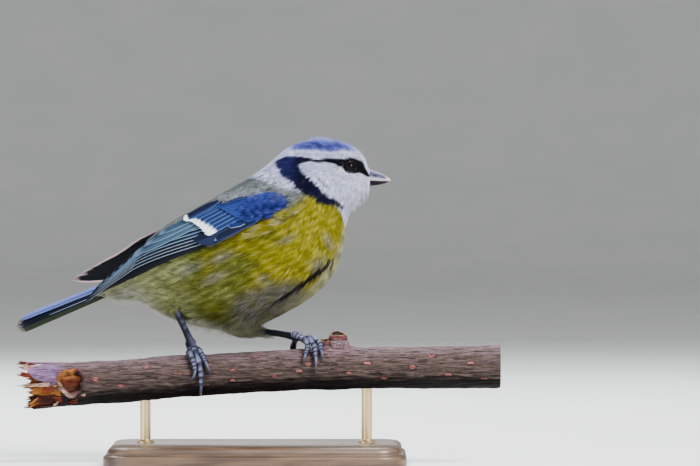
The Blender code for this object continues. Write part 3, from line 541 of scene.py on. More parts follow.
def body_colour(station, turn):
    """The colour of the plumage at spots of the body, with painted shade below and painted sheen on the crown."""
    turn = np.arctan2(np.sin(turn), np.cos(turn))
    seen = body_point(station, -np.abs(turn), np.zeros_like(station))
    x, z = seen[..., 0], seen[..., 2]
    deep = np.abs(turn)
    back = 1 - smooth_step(0.0, 0.26, deep - 1.02 - 0.35 * smooth_step(8.0, 9.2, station))
    streaks = clumps(x + 0.5 * z, (z - 0.5 * x) * 3.4, 33, 5.4)
    wander = clumps(x, z, 34, 9.0)
    front = blend(smooth_step(8.6, 6.0, station + 0.8 * wander), YELLOW, OLIVE)
    front = blend(smooth_step(6.0, 4.0, station + 0.8 * wander), front, FLANK)
    front = blend(smooth_step(4.4, 2.0, station) * smooth_step(1.3, 2.1, deep), front, VENT)
    front = blend(smooth_step(2.4, 2.95, deep) * smooth_step(7.5, 5.0, station), front, VENT)
    # The pale strip under the front of the breast is its own pale colour darkened as painted shade.
    front = blend(smooth_step(2.72, 2.92, deep) * smooth_step(6.2, 7.6, station) * 0.85, front, (0.36, 0.35, 0.20))
    for part_x, part_z, part_long, part_wide in PARTINGS:
        lengthwise = ((x - part_x) * 0.89 + (z - part_z) * 0.45) / part_long
        crosswise = ((z - part_z) * 0.89 - (x - part_x) * 0.45) / part_wide
        front = blend(0.55 * np.exp(-lengthwise ** 2 - crosswise ** 2), front, ASH)
    shaded = smooth_step(2.0, 2.5, deep) * smooth_step(2.6, 4.2, station) * smooth_step(8.2, 6.8, station)
    front = front * (np.clip(1 + 0.20 * streaks, 0.5, 1.5) * (1 - 0.5 * shaded))[..., None]
    front = blend(np.clip(0.16 * streaks - 0.06, 0, 0.15), front, (0.42, 0.41, 0.20))
    colour = blend(back, front, MANTLE * np.clip(1 + 0.2 * streaks, 0.6, 1.5)[..., None])
    near = turn < 0
    patch = band(PALE_PATCH, x, z, 2.4) * near * (1 - back)
    colour = blend(patch * 0.7 * np.clip(1 + 0.4 * streaks, 0, 1.3), colour, ASH * (0.72, 0.68, 0.58))
    upper = smooth_step(7.4, 8.8, station)
    whitish = np.maximum(above(NAPE_LINE, x, z, 0.8) * (x < 14), above(FRONT_LINE, x, z, 0.3) * (x >= 12))
    white = blend(smooth_step(18.0, 30.0, x), blend(0.45, WHITE, LILAC), WHITE)
    colour = blend(whitish * upper * 0.96, colour, white)
    colour = blend(np.clip(0.22 * clumps(x * 2.0, z * 2.0, 37, 4.0), 0, 0.3) * whitish * upper, colour, ASH * 1.4)
    cap = above(CAP_LINE, x, z, 0.35) * smooth_step(7.5, 10.5, x) * (1 - smooth_step(26.6, 28.6, x))
    over_cap = z - np.interp(x, *np.transpose(CAP_LINE))
    mottle = 0.18 * clumps(x * 2.4, z * 2.4, 36, 4.0)
    # The cap pales to lilac at its two ends, where it meets the white ring, and towards the top of the crown, which
    # is painted sheen from light above.
    crown_sheen_and_pale_ends = np.maximum(smooth_step(1.8, 3.4, over_cap), 1 - smooth_step(9.0, 13.0, x))
    crown_sheen_and_pale_ends = np.maximum(crown_sheen_and_pale_ends, smooth_step(25.5, 28.0, x))
    colour = blend(cap, colour, blend(np.clip(crown_sheen_and_pale_ends * 0.48 + mottle, 0, 0.7), CAP_BLUE, LILAC))
    # A darker band low on the cap's side is painted shade.
    core = smooth_step(0.1, 0.7, over_cap) * (1 - smooth_step(1.3, 2.8, over_cap)) * smooth_step(9.5, 14.0, x)
    core = core * (1 - smooth_step(22.6, 25.2, x))
    colour = blend(np.clip(core * (0.7 + 2 * mottle), 0, 0.9), colour, CAP_BLUE * (0.36, 0.34, 0.38))
    # A thin navy line where the cheek feathers fold is painted shade in the crease.
    colour = blend(band(CHEEK_FOLD, x, z, 0.12) * 0.9, colour, NAVY)
    ragged = 0.22 * clumps(x * 2.2, z * 2.2, 35, 3.0)
    colour = blend(band(BELLY_STREAK, x + ragged, z - ragged, 0.3) * near * (deep > 1.7), colour, INK)
    collar = band(COLLAR_BAND, x, z, 0.22)
    blue = blend(smooth_step(12.5, 8.5, x), NAVY, (0.016, 0.018, 0.095))
    colour = blend(collar * smooth_step(8.6, 9.4, station), colour, blue)
    chin = smooth_step(3.0, 3.1, deep) * smooth_step(10.6, 11.2, station) * (1 - smooth_step(14.6, 15.4, station))
    dark = blend(smooth_step(11.0, 15.0, x), blue, INK)
    return blend(np.maximum(band(EYE_BAND, x, z, 0.2), chin) * smooth_step(8.6, 9.4, station), colour, dark)


# %% [markdown]
# A body feather is a short shaft with loose barbs that part like hair. We build each barb as a thin
# closed blade with a ridge, and each feather as a fan of them. All the blades of a coat are worked
# out at once with arrays, because a loop over tens of thousands of blades would be slow. A blade
# follows the skin because its points are laid on the curved surface, not on a flat plane.

# %% Barbs and feathers
BARB_TRIANGLES = np.array([
    (0, 2, 1), (0, 1, 4), (0, 4, 3), (1, 2, 5), (1, 5, 4), (2, 0, 3), (2, 3, 5), (3, 4, 6), (4, 5, 6), (5, 3, 6)])


def feather_coat(name, finish, place, first, second, scales, length, width, barbs, blade, lifts, turn,
                 paint, bake, seed, loose=0.08, nodes=(), slot=None, unrest=0.07):
    """A coat of feathers rooted at (first, second) of a surface.

    Scales turn millimetres along and across into steps of the surface. Lifts are the heights of
    root, middle and tip over it, and turn swings a feather away from the lie of the coat. Paint
    gives the colour at spots of the surface, so that each barb has the colour of where it lies.
    """
    dice = np.random.default_rng(seed)
    count = len(first)
    fan = np.linspace(-1, 1, barbs)[None, :]
    length = (length * dice.uniform(0.75, 1.2, count))[:, None]
    width = (np.broadcast_to(width, count) * dice.uniform(0.85, 1.15, count))[:, None]
    ragged = dice.normal(0, 1, (count, barbs, 4))
    begin = length * (0.04 + 0.5 * (1 - np.abs(fan)) * dice.uniform(0.6, 1.0, (count, barbs)))
    end = length * (1 - 0.30 * fan ** 2 + 0.12 * ragged[..., 0])
    side = width * (fan + loose * ragged[..., 1])
    centre = np.stack([begin, begin * 0.45 + end * 0.55, end], 2)
    across = np.stack([0.12 * side, 0.66 * side, side + loose * 0.5 * width * ragged[..., 2]], 2)
    raise_ = unrest * (dice.normal(0, 1, (count, 1)) + 0.8 * ragged[..., 3])
    low, middle, high = (np.broadcast_to(lift, count)[:, None] for lift in lifts)
    height = np.stack([low + 0 * raise_, middle + 0.5 * raise_, high + raise_], 2)
    way = np.stack([centre[..., 2] - centre[..., 0], across[..., 2] - across[..., 0]], -1)
    way /= np.linalg.norm(way, axis=-1, keepdims=True)
    half = blade * dice.uniform(0.8, 1.2, (count, barbs))
    spots = []
    for level, share in ((0, 1.0), (1, 0.85)):
        for edge, rise in ((-1, 0.0), (0, 0.4), (1, 0.0)):
            spots.append((centre[..., level] - way[..., 1] * half * share * edge,
                          across[..., level] + way[..., 0] * half * share * edge,
                          height[..., level] + rise * half * share))
    spots.append((centre[..., 2], across[..., 2], height[..., 2]))
    along, sideways, up = (np.stack([spot[k] for spot in spots], 2) for k in range(3))
    swing = (turn + dice.normal(0, 0.10, count))[:, None, None]
    cos, sin = np.cos(swing), np.sin(swing)
    first_spots = first[:, None, None] + (along * cos - sideways * sin) * scales[0][:, None, None]
    second_spots = second[:, None, None] + (along * sin + sideways * cos) * scales[1][:, None, None]
    points = place(first_spots, second_spots, up).reshape(-1, 3)
    blades = count * barbs
    triangles = (np.arange(blades)[:, None, None] * 7 + BARB_TRIANGLES[None]).reshape(-1, 3)
    colours = paint(first_spots[..., 3:].mean(2), second_spots[..., 3:].mean(2))
    tone = 1 + dice.normal(0, 0.08, (count, 1, 1)) + dice.normal(0, 0.20, (count, barbs, 1))
    shade = np.array([0.46, 0.54, 0.46, 0.90, 1.0, 0.90, 1.10])[None, None, :]
    marking = colours[:, :, None, :] * np.clip(tone * shade, 0.2, 1.6)[..., None]
    reach = length[:, :, None].max()
    patch = np.stack([along / reach - 0.5, sideways / reach], -1) * 0.003
    patch = (bake[:, None, None, :] + patch).reshape(-1, 2)
    pieces = []
    most = 190000 // (len(BARB_TRIANGLES) * barbs)
    for number, low in enumerate(range(0, count, most)):
        high = min(low + most, count)
        v0, v1 = low * barbs * 7, high * barbs * 7
        t0, t1 = low * barbs * 10, high * barbs * 10
        label = name if count <= most else f"{name}_{number + 1}"
        pieces.append(mesh_piece(label, points[v0:v1], triangles[t0:t1] - v0, finish, nodes, slot,
                                 np.clip(marking, 0, 1).reshape(-1, 3)[v0:v1], patch[v0:v1]))
    print(name, "feathers:", count, "triangles:", len(triangles))
    return pieces


# %% [markdown]
# The skin itself shows only between barbs, but it carries the same markings, so that a gap never
# looks like a hole. It is one mesh from the tail root to the bill, with a hollow for each eye.

# %% Skin
plumage_finish = Finish("body_plumage", roughness=0.85, Specular_IOR_Level=0.07)
spot = plumage_finish.place()
mottle = plumage_finish.noise(spot, 0.35, 4.0)
tinted = plumage_finish.mix(mottle.step(0.35, 0.75) * 0.35, plumage_finish.painted(),
                            (0.30, 0.30, 0.26), "SOFT_LIGHT")
plumage_finish.set(Base_Color=tinted)

skin_finish = Finish("skin_under_plumage", roughness=0.95, Specular_IOR_Level=0.05)
# The skin takes the markings darkened halfway to near-black: painted shade in the gaps between feathers.
skin_finish.set(Base_Color=skin_finish.mix(0.55, skin_finish.painted(), (0.02, 0.02, 0.02)))
skin_finish.bump(skin_finish.noise(skin_finish.place(), 3.0), 0.5, 0.3)

SKIN_ROWS, SKIN_SIDES = 150, 110
stations = np.linspace(-0.2, LAST_STATION, SKIN_ROWS)
turns = np.arange(SKIN_SIDES) * TAU / SKIN_SIDES
station_grid, turn_grid = (g.ravel() for g in np.meshgrid(stations, turns, indexing="ij"))
skin_points = skin_point(station_grid, turn_grid, np.zeros_like(station_grid))
EYE_X, EYE_Z, EYE_RADIUS, EYE_SUNK = 26.6, 83.4, 1.75, 1.15


def eye_places():
    """The middle and the outward way of the right and the left eye."""
    found = []
    for side in (-1, 1):
        s, t = np.meshgrid(np.linspace(12, 15.5, 60), np.linspace(0.1, math.pi - 0.1, 90) * side)
        spots = body_point(s.ravel(), t.ravel(), np.zeros(s.size))
        nearest = np.argmin(np.hypot(spots[:, 0] - EYE_X, spots[:, 2] - EYE_Z))
        outward = unit(np.array([0.28, side, 0.12]))
        found.append((spots[nearest] - outward * EYE_SUNK, outward))
    return found


EYES = eye_places()
for middle, outward in EYES:
    away = skin_points - middle
    near = np.linalg.norm(away, axis=1) < 2.6
    skin_points[near] -= outward * np.clip(2.6 - np.linalg.norm(away[near], axis=1), 0, 1.2)[:, None]
first_cap = skin_points[:SKIN_SIDES].mean(0)
last_cap = skin_points[-SKIN_SIDES:].mean(0)
skin_colours = body_colour(station_grid, turn_grid)
skin_colours = np.concatenate([skin_colours, skin_colours[:1], skin_colours[-1:]])
skin_map = np.stack([station_grid / LAST_STATION, turn_grid / TAU], 1)
skin_map = np.concatenate([skin_map, skin_map[:1], skin_map[-1:]])
skin = mesh_piece("skin", np.concatenate([skin_points, [first_cap, last_cap]]),
                  capped_triangles(SKIN_ROWS, SKIN_SIDES), skin_finish, ("torso", "neck", "head"),
                  "belly_plumage", skin_colours, skin_map)

# %% [markdown]
# Feather roots sit in staggered rings, as they do in the tracts of a real bird, with a spacing that
# shrinks from the belly to the face. Each coat covers a range of stations. The lie of the coat is
# towards the tail, and it swings a little where the plumage parts round the wing.

# %% Feather roots


def root_rings(low, high, spacing, seed, keep=None):
    """Staggered roots at an even spacing between two stations, and the steps of the surface there."""
    dice = np.random.default_rng(seed)
    first, second = [], []
    station, odd = low, 0
    while station < high:
        probe = np.linspace(0, TAU, 25)[:-1]
        ring_points = body_point(np.full(24, station), probe, np.zeros(24))
        ahead = body_point(np.full(24, station + 0.05), probe, np.zeros(24))
        around = np.linalg.norm(np.diff(ring_points[np.r_[0:24, 0]], axis=0), axis=1).sum()
        number = max(6, int(around / spacing))
        angles = (np.arange(number) + 0.5 * odd + dice.uniform(-0.3, 0.3, number)) * TAU / number
        first.append(np.full(number, station) + dice.uniform(-0.3, 0.3, number) * 0.5)
        second.append(angles)
        station += spacing * 0.05 / np.linalg.norm(ahead - ring_points, axis=1).mean()
        odd = 1 - odd
    first, second = np.concatenate(first), np.concatenate(second)
    first = np.clip(first, low, high)
    if keep is not None:
        chosen = keep(first, second)
        first, second = first[chosen], second[chosen]
    here = body_point(first, second, np.zeros_like(first))
    along = np.linalg.norm(body_point(first + 0.02, second, np.zeros_like(first)) - here, axis=1) / 0.02
    across = np.linalg.norm(body_point(first, second + 0.01, np.zeros_like(first)) - here, axis=1) / 0.01
    return first, second, (-1 / np.maximum(along, 0.8), 1 / np.maximum(across, 0.8))


def body_feathers(name, low, high, spacing, length, width, barbs, blade, lifts, seed, loose=0.08, turn=None,
                  keep=None, paint=body_colour, unrest=0.07):
    """A coat of feathers over a range of the body's stations, in the colours of the markings."""
    first, second, scales = root_rings(low, high, spacing, seed, keep)
    bake = np.stack([np.clip(first / LAST_STATION, 0.003, 0.997), np.mod(second / TAU, 1.0) * 0.994 + 0.003], 1)
    roots = body_point(first, second, np.zeros_like(first))
    fall = 0.17 * clumps(roots[:, 0], roots[:, 2] + 0.6 * roots[:, 1], 77, 5.0)
    lie = fall if turn is None else fall + turn(first, second)
    made = [lift(first, second) if callable(lift) else lift for lift in lifts]
    return feather_coat(name, plumage_finish, skin_point, first, second, scales, length, width, barbs, blade,
                        made, lie, paint, bake, seed, loose, unrest=unrest)


def off_the_eyes(first, second):
    """True where a root is clear of both eyes and of the bill."""
    spots = body_point(first, second, np.zeros_like(first))
    clear = np.ones(len(first), bool)
    for middle, outward in EYES:
        clear &= np.linalg.norm(spots - (middle + outward * EYE_SUNK), axis=1) > 1.95
    return clear


# %% [markdown]
# A folded wing lies on the side of the body and runs on past it in the air. We lay it out on a
# sheet: distance along it from the shoulder, and distance across it towards the back. The sheet
# follows the body where there is body, and keeps a least distance from its middle plane elsewhere.
# The other wing is the same one, mirrored and held a little higher.

# %% Wing sheet
WING_SHOULDER = np.array([9.0, 73.5])
WING_ALONG = np.array([-0.8944, -0.4472])
WING_ACROSS = np.array([-0.4472, 0.8944])
WING_LENGTH = 64.0
WING_FREE_REACH = ((0.0, 20.0, 32.0, 45.0, 66.0), (12.0, 13.0, 11.4, 8.6, 5.8))
WING_EVENNESS = 1.6
LEFT_WING_RAISE = math.radians(7.7)
LEFT_WING_SHIFT = np.array([-4.0, 1.3, -1.1])
LEFT_WING_TUCK, TUCKED_SHARE = ((30.0, 46.0, 52.0, 64.0), (5.0, 4.0, 1.6, -0.4)), 0.4
BODY_PLANE = np.array([math.sin(BODY_YAW), math.cos(BODY_YAW), 0.0])
side_s, side_t = np.meshgrid(np.linspace(1, 12, 70), -np.linspace(0.15, 3.0, 50))
near_side = body_point(side_s.ravel(), side_t.ravel(), np.zeros(side_s.size))
near_reach = (BODY_MID - near_side) @ BODY_PLANE
REACH_STEP, REACH_START, REACH_SIZE = 0.5, np.array([-62.0, 34.0]), (180, 116)
reach_x, reach_z = (REACH_START[k] + REACH_STEP * np.arange(REACH_SIZE[k]) for k in (0, 1))
REACH_TABLE = np.zeros(REACH_SIZE)
for i, x in enumerate(reach_x):
    away = (near_side[None, :, 0] - x) ** 2 + (near_side[None, :, 2] - reach_z[:, None]) ** 2
    weights = np.exp((away.min(1, keepdims=True) - away) / WING_EVENNESS ** 2)
    REACH_TABLE[i] = weights @ near_reach / weights.sum(1)


def body_reach(x, z):
    """How far the body stands out from its middle plane at spots seen from the side."""
    cell = [np.clip((v - REACH_START[k]) / REACH_STEP, 0, REACH_SIZE[k] - 1.001) for k, v in enumerate((x, z))]
    i, j = cell[0].astype(int), cell[1].astype(int)
    fx, fz = cell[0] - i, cell[1] - j
    return ((REACH_TABLE[i, j] * (1 - fx) + REACH_TABLE[i + 1, j] * fx) * (1 - fz)
            + (REACH_TABLE[i, j + 1] * (1 - fx) + REACH_TABLE[i + 1, j + 1] * fx) * fz)


def wing_sheet(along, across):
    x = WING_SHOULDER[0] + along * WING_ALONG[0] + across * WING_ACROSS[0]
    z = WING_SHOULDER[1] + along * WING_ALONG[1] + across * WING_ACROSS[1]
    body = body_reach(x, z)
    free = np.interp(along, *WING_FREE_REACH)
    reach = (body + free + np.hypot(body - free, 1.0)) / 2
    plane_y = BODY_MID[1] - (x - BODY_MID[0]) * math.tan(BODY_YAW)
    return np.stack([x, plane_y - reach / math.cos(BODY_YAW), z], -1)


def right_wing(along, across, lift):
    """Points at a height over the sheet of the right wing."""
    step = 0.4
    lengthwise = wing_sheet(along + step, across) - wing_sheet(along - step, across)
    crosswise = wing_sheet(along, across + step) - wing_sheet(along, across - step)
    return wing_sheet(along, across) - unit(np.cross(lengthwise, crosswise)) * np.asarray(lift)[..., None]


def mirrored(points):
    return points - 2 * ((points - BODY_MID) @ BODY_PLANE)[..., None] * BODY_PLANE


LEFT_SHOULDER = mirrored(wing_sheet(np.float64(0), np.float64(0)))


def left_wing(along, across, lift):
    """The same points of the left wing, whose uppermost feathers are tucked closer under the back."""
    tuck = np.interp(along, *LEFT_WING_TUCK)
    across = np.minimum(across, tuck) + TUCKED_SHARE * np.maximum(across - tuck, 0.0)
    arms = mirrored(right_wing(along, across, lift)) - LEFT_SHOULDER
    beside = (arms @ BODY_PLANE)[..., None] * BODY_PLANE
    swung = (beside + (arms - beside) * math.cos(LEFT_WING_RAISE)
             + np.cross(BODY_PLANE, arms) * math.sin(LEFT_WING_RAISE))
    return LEFT_SHOULDER + swung + LEFT_WING_SHIFT * (along / WING_LENGTH)[..., None]


print("wing, mm:", WING_LENGTH)

# %% [markdown]
# A flight feather is a blade with a shaft, a narrow outer web and a broad inner one. We build it as
# a thin closed slab on a small grid with more columns near the edges, so that the pale edge can be
# crisp. Fine slanting lines in the finish stand for the barbs. Each row of feathers is one mesh.

# %% Vanes
VANE_ROWS = 18
RIM_WIDTH = ((20, 34, 46, 53, 60), (1.4, 1.3, 1.0, 1.4, 0.9))
RIM_TIP = (64.2, 64.9)
VANE_COLUMNS = np.array([-1.0, -0.93, -0.85, -0.76, -0.52, -0.36, -0.12, 0.0, 0.12, 0.5, 0.84, 1.0])


def vane_grid(root, tip, lower, upper, bend=0.0, pointed=0.3, taper=0.0, rows=VANE_ROWS):
    """The spots of a feather's grid on its surface, and how wide it is at each."""
    root, tip = np.asarray(root, float), np.asarray(tip, float)
    way = unit(tip - root)
    cross = np.array([-way[1], way[0]])
    u, v = np.meshgrid(np.linspace(0, 1, rows) ** 0.85, VANE_COLUMNS, indexing="ij")
    past = np.clip((u - (1 - pointed)) / pointed, 0, 1)
    width = (0.5 + 0.5 * smooth_step(0, 0.3, u)) * np.sqrt(np.clip(1 - past ** 2.2, 0.004, 1)) * (1 - taper * u)
    offset = bend * np.sin(math.pi * u ** 1.25) + v * np.where(v < 0, lower, upper) * width
    along = root[0] + (tip - root)[0] * u + cross[0] * offset
    across = root[1] + (tip - root)[1] * u + cross[1] * offset
    return u, v, width, along, across


def vane(place, root, tip, lower, upper, lift, tilt, paint, shape=None, thick=0.14, camber=0.12, outline=None):
    """One feather: lower and upper are the widths of its webs, paint its colours by name.

    Outline gives the wing's two edges by distance along it, where the underside shows a pale rim.
    """
    u, v, width, along, across = vane_grid(root, tip, lower, upper, **(shape or {}))
    height = lift + tilt * v * width - camber * v * v * width
    ridge = np.where(v == 0, 0.07, 0.0) * (1.1 - u)
    top = place(along, across, height + thick / 2 + ridge).reshape(-1, 3)
    under = place(along, across, height - thick / 2 - ridge * 0.6).reshape(-1, 3)
    edge = smooth_step(paint["edge_to"] + 0.07, paint["edge_to"], v)
    colour = blend(smooth_step(paint["dark_from"], paint["dark_from"] + 0.2, v), paint["web"], paint["inner"])
    colour = blend(np.where(v == 0, paint["shaft"], 0.0), colour, INK)
    colour = blend(edge, colour, paint["edge"])
    colour = blend(smooth_step(1 - paint["tip_share"], 1.0 - 0.7 * paint["tip_share"], u), colour, paint["tip"])
    rim_share = edge
    if outline is not None:
        upper_edge, lower_edge = outline(along)
        rim_width = np.interp(along, *RIM_WIDTH)
        rim_share = np.maximum(smooth_step(1.0, 0.6, (upper_edge - across) / rim_width),
                               smooth_step(0.45, 0.25, across - lower_edge))
        rim_share = np.maximum(rim_share, smooth_step(*RIM_TIP, along))
    beneath = blend(rim_share, paint["under"], paint["under_edge"])
    marking = np.concatenate([colour.reshape(-1, 3), beneath.reshape(-1, 3)])
    grid = np.stack([u, v * 0.5 + 0.5], -1).reshape(-1, 2)
    return np.concatenate([top, under]), slab_triangles(*u.shape), marking, np.concatenate([grid, grid])


def vane_row(name, feathers, finish, nodes, slot):
    """A row of feathers as one piece. Each has its own cell of the bake map."""
    side = math.ceil(math.sqrt(len(feathers)))
    parts = []
    for number, (points, triangles, marking, grid) in enumerate(feathers):
        half = len(grid) // 2
        sheet = np.repeat([0.0, 0.5], half)
        cell = np.stack([(number % side + 0.04 + 0.92 * grid[:, 0]) / side,
                         (number // side + 0.04 + 0.44 * grid[:, 1] + sheet) / side], 1)
        parts.append((points, triangles, marking, grid, cell))
    points, triangles, marking, grid, cell = joined(parts)
    return mesh_piece(name, points, triangles, finish, nodes, slot, marking, cell, grid)


vane_finish = Finish("flight_feathers", roughness=0.6, Specular_IOR_Level=0.07)
vane_u, vane_v, _ = vane_finish.split(vane_finish.node("ShaderNodeUVMap", {"uv_map": "vane"}))
slant = (vane_v - 0.5).abs() * 0.3
barb_spot = vane_finish.node("ShaderNodeCombineXYZ", None, {"X": (vane_u - slant) * 150.0, "Y": vane_v * 2.0})
barb_lines = vane_finish.noise(barb_spot, 1.0, 2.0)
streak_spot = vane_finish.node("ShaderNodeCombineXYZ", None, {"X": vane_u * 3.0, "Y": vane_v * 14.0})
streak = vane_finish.noise(streak_spot, 1.0, 3.0)
vane_colour = vane_finish.mix(barb_lines.step(0.42, 0.62) * 0.45, vane_finish.painted(), (0.008, 0.012, 0.02))
vane_finish.set(Base_Color=vane_finish.mix(streak.step(0.35, 0.75) * 0.25, vane_colour, (0.22, 0.24, 0.30),
                                           "SOFT_LIGHT"))
vane_finish.bump(barb_lines + streak * 0.5, 0.3, 0.05)

# %% [markdown]
# The wing is built from below upwards, as it folds: primaries, secondaries, the three tertials,
# then the coverts, each row lying over the roots of the one before. Their colours go from slate
# with whitish edges at the tip of the wing to pure blue at the shoulder, with one white bar.

# %% Wing feathers
# The inner webs are nearly black, partly their own colour and partly painted shade under the feather above; the
# undersides are painted nearly black as shade.
PRIMARY = dict(web=(0.010, 0.022, 0.044), inner=(0.002, 0.002, 0.004), edge=(0.40, 0.45, 0.54),
               tip=(0.016, 0.026, 0.045), tip_share=0.05, under=(0.0015, 0.001, 0.001),
               under_edge=(0.50, 0.36, 0.38), edge_to=-0.93, dark_from=-0.66, shaft=0.3)
# The near-black SHADED paint is for feathers that stand in for the shadow under the wing's lower edge: painted
# shadow.
SHADED = dict(PRIMARY, web=(0.002, 0.002, 0.003), edge=(0.008, 0.010, 0.015))
SECONDARY = dict(PRIMARY, web=(0.024, 0.070, 0.130), edge=(0.30, 0.40, 0.54), tip=(0.11, 0.18, 0.27),
                 dark_from=-0.62)
TERTIAL = dict(PRIMARY, web=(0.040, 0.082, 0.130), inner=(0.026, 0.055, 0.095), edge=(0.16, 0.24, 0.33),
               tip=(0.11, 0.17, 0.24), tip_share=0.12, dark_from=-0.3, shaft=0.3)
GREATER = dict(PRIMARY, web=(0.010, 0.024, 0.095), inner=(0.003, 0.005, 0.024), edge=(0.060, 0.110, 0.29),
               tip=(0.95, 0.97, 1.0), tip_share=0.16, dark_from=-0.30, edge_to=-0.86)
PRIMARY_COVERT = dict(PRIMARY, web=(0.007, 0.011, 0.036), inner=(0.004, 0.006, 0.022), edge=(0.024, 0.036, 0.09),
                      tip=(0.012, 0.018, 0.05))
ALULA = dict(PRIMARY_COVERT, web=(0.006, 0.012, 0.06), edge=(0.014, 0.028, 0.12), tip=(0.40, 0.44, 0.66),
             tip_share=0.02)
ALULA_STREAK = dict(ALULA, web=(0.009, 0.022, 0.10), inner=(0.008, 0.018, 0.085), edge=(0.40, 0.44, 0.70))
MEDIAN = dict(PRIMARY, web=(0.010, 0.024, 0.13), inner=(0.005, 0.010, 0.07), edge=(0.030, 0.060, 0.25),
              tip=(0.016, 0.048, 0.21), tip_share=0.06, dark_from=-0.35)


def between(start, end, count):
    return [np.asarray(start) + (np.asarray(end) - start) * i / (count - 1) for i in range(count)]


BAND_TIPS = ((63.8, 0.1), (62.2, 0.9), (60.4, 1.6), (58.2, 2.3), (55.8, 3.0), (53.2, 3.7), (50.4, 4.5),
             (47.2, 5.2))
BAND_ROOT, BAND_PITCH, BAND_BEND = (18.0, -0.6), 0.80, 2.9
BAR_ACROSS, BAR_ALONG = (1.4, 3.8, 6.2, 8.1), (24.0, 24.7, 26.2, 27.4)


def flight_band(number, paint, upper):
    """One visible flight feather, counted from the lowest. They run side by side and meet at the tip."""
    return ((BAND_ROOT[0], BAND_ROOT[1] + BAND_PITCH * number), BAND_TIPS[number], 0.9, upper,
            0.74 + 0.05 * number, -0.16, paint, dict(pointed=0.22, taper=0.45, bend=BAND_BEND - 0.1 * number))


def wing_rows():
    """The rows of a wing: name, then root, tip, lower and upper web, lift, tilt, paint and shape of each."""
    rows = {}
    # Painted shadow: three near-black feathers below the visible bands fill the shade under the wing.
    rows["outer_primaries"] = [((18.0, -1.3 + 0.5 * i), (50.0 + 5 * i, 0.5 + 0.2 * i), 0.8, 1.7, 0.52 + 0.04 * i,
                                -0.12, SHADED, dict(pointed=0.22, taper=0.3, bend=0.9)) for i in range(3)]
    rows["primaries"] = [flight_band(i, PRIMARY, 1.7) for i in range(3)]
    rows["secondaries"] = [flight_band(i, SECONDARY, 1.6 - 0.12 * (i - 3)) for i in range(3, 8)]
    rows["tertials"] = [(root, tip, 1.4, upper, 1.30 + 0.10 * i, -0.14, TERTIAL, {}) for i, (root, tip, upper)
                        in enumerate(zip(between((16.5, 5.4), (16.0, 7.3), 3),
                                         ((45.5, 5.5), (41.0, 6.6), (36.0, 7.6)), (1.7, 1.4, 1.0)))]
    rows["primary_coverts"] = [(root, tip, 1.0, 1.2, 1.42 + 0.05 * i, -0.12, PRIMARY_COVERT, {})
                               for i, (root, tip) in enumerate(zip(between((12.0, -0.9), (13.0, 1.0), 5),
                                                                   between((25.5, -0.9), (28.0, 1.1), 5)))]
    bar = [(float(np.interp(across, BAR_ACROSS, BAR_ALONG)), across) for across in np.linspace(1.5, 8.2, 8)]
    rows["greater_coverts"] = [(root, tip, 1.05, 1.1, 1.80 + 0.04 * i, -0.13,
                                dict(GREATER, tip_share=0.26 - 0.015 * i), dict(pointed=0.12))
                               for i, (root, tip) in enumerate(zip(between((10.0, 2.0), (16.5, 8.4), 8), bar))]
    rows["alula"] = [((7.0, -0.9), (22.4, -1.1), 0.8, 1.0, 1.85, -0.1, ALULA, {}),
                     ((12.8, -0.55), (17.2, 0.45), 0.65, 0.7, 2.0, -0.1, ALULA_STREAK, {}),
                     ((6.0, 1.0), (14.6, 1.1), 0.8, 1.0, 2.05, -0.1, MEDIAN, {})]
    rows["median_coverts"] = [(root, tip, 1.1, 1.2, 2.12 + 0.03 * i, -0.12, MEDIAN, {})
                              for i, (root, tip) in enumerate(zip(between((4.2, -0.2), (9.0, 4.6), 9),
                                                                  between((13.0, 0.2), (17.4, 6.0), 9)))]
    return rows


SPREAD_PRIMARIES = [((20.0, -1.4), (65.4, -0.7), 1.3, 2.6, 0.38, -0.12, PRIMARY, dict(pointed=0.22, bend=-2.9)),
                    ((20.0, -0.2), (63.4, 0.2), 1.3, 2.4, 0.46, -0.12, PRIMARY, dict(pointed=0.22, bend=-1.0))]
WING_UPPER_EDGE = ((-1.0, 1.6), (2.3, 3.6), (6.2, 4.2), (10.4, 4.3), (14.4, 5.5), (19.2, 9.0), (22.0, 10.2),
                   (40.0, 8.2), (52.0, 4.0), (64.0, 1.0))
WING_LOWER_EDGE = ((-1.0, -1.2), (4.0, -2.4), (23.0, -2.3), (30.0, -1.0), (38.5, -0.3), (50.0, 0.9), (64.0, -0.4))


def wing_coat(name, place, node, seed):
    """The small blue feathers of the shoulder, which are soft like those of the body."""
    dice = np.random.default_rng(seed)
    a, b = np.meshgrid(np.arange(-0.6, 10.2, 0.95), np.arange(-2.3, 6.4, 0.85), indexing="ij")
    b[::2] += 0.42
    a, b = (g.ravel() + dice.uniform(-0.25, 0.25, g.size) for g in (a, b))
    middle = 1.5 + 0.16 * a
    inside = np.abs(b - middle) < 3.1 * np.sqrt(np.clip(1 - ((a - 5.6) / 6.4) ** 2, 0, 1)) + 0.8
    inside &= b < np.interp(a, *np.transpose(WING_UPPER_EDGE)) + 0.2
    a, b, middle = a[inside], b[inside], middle[inside]
    bake = np.stack([np.clip((a + 2) / 70, 0.003, 0.997), np.clip((b + 8) / 20, 0.003, 0.997)], 1)
    one = np.ones(len(a))

    def paint(along, across):
        over = across - 1.5 - 0.16 * along
        blue = blend(smooth_step(-3.0, 3.0, over), (0.007, 0.013, 0.10), (0.030, 0.054, 0.33))
        # The lighter violet-blue clumps are partly random tone and partly a painted sheen.
        return blend(np.clip(0.2 + 0.3 * clumps(along, across, 8, 1.8), 0, 0.6), blue, (0.085, 0.105, 0.42))

    return feather_coat(name, plumage_finish, place, a, b, (one, one), 3.4, 0.95, 21, 0.05, (1.75, 2.35, 2.6),
                        np.full(len(a), 0.05), paint, bake, seed, 0.12, (node,), "wing_feathers", unrest=0.12)


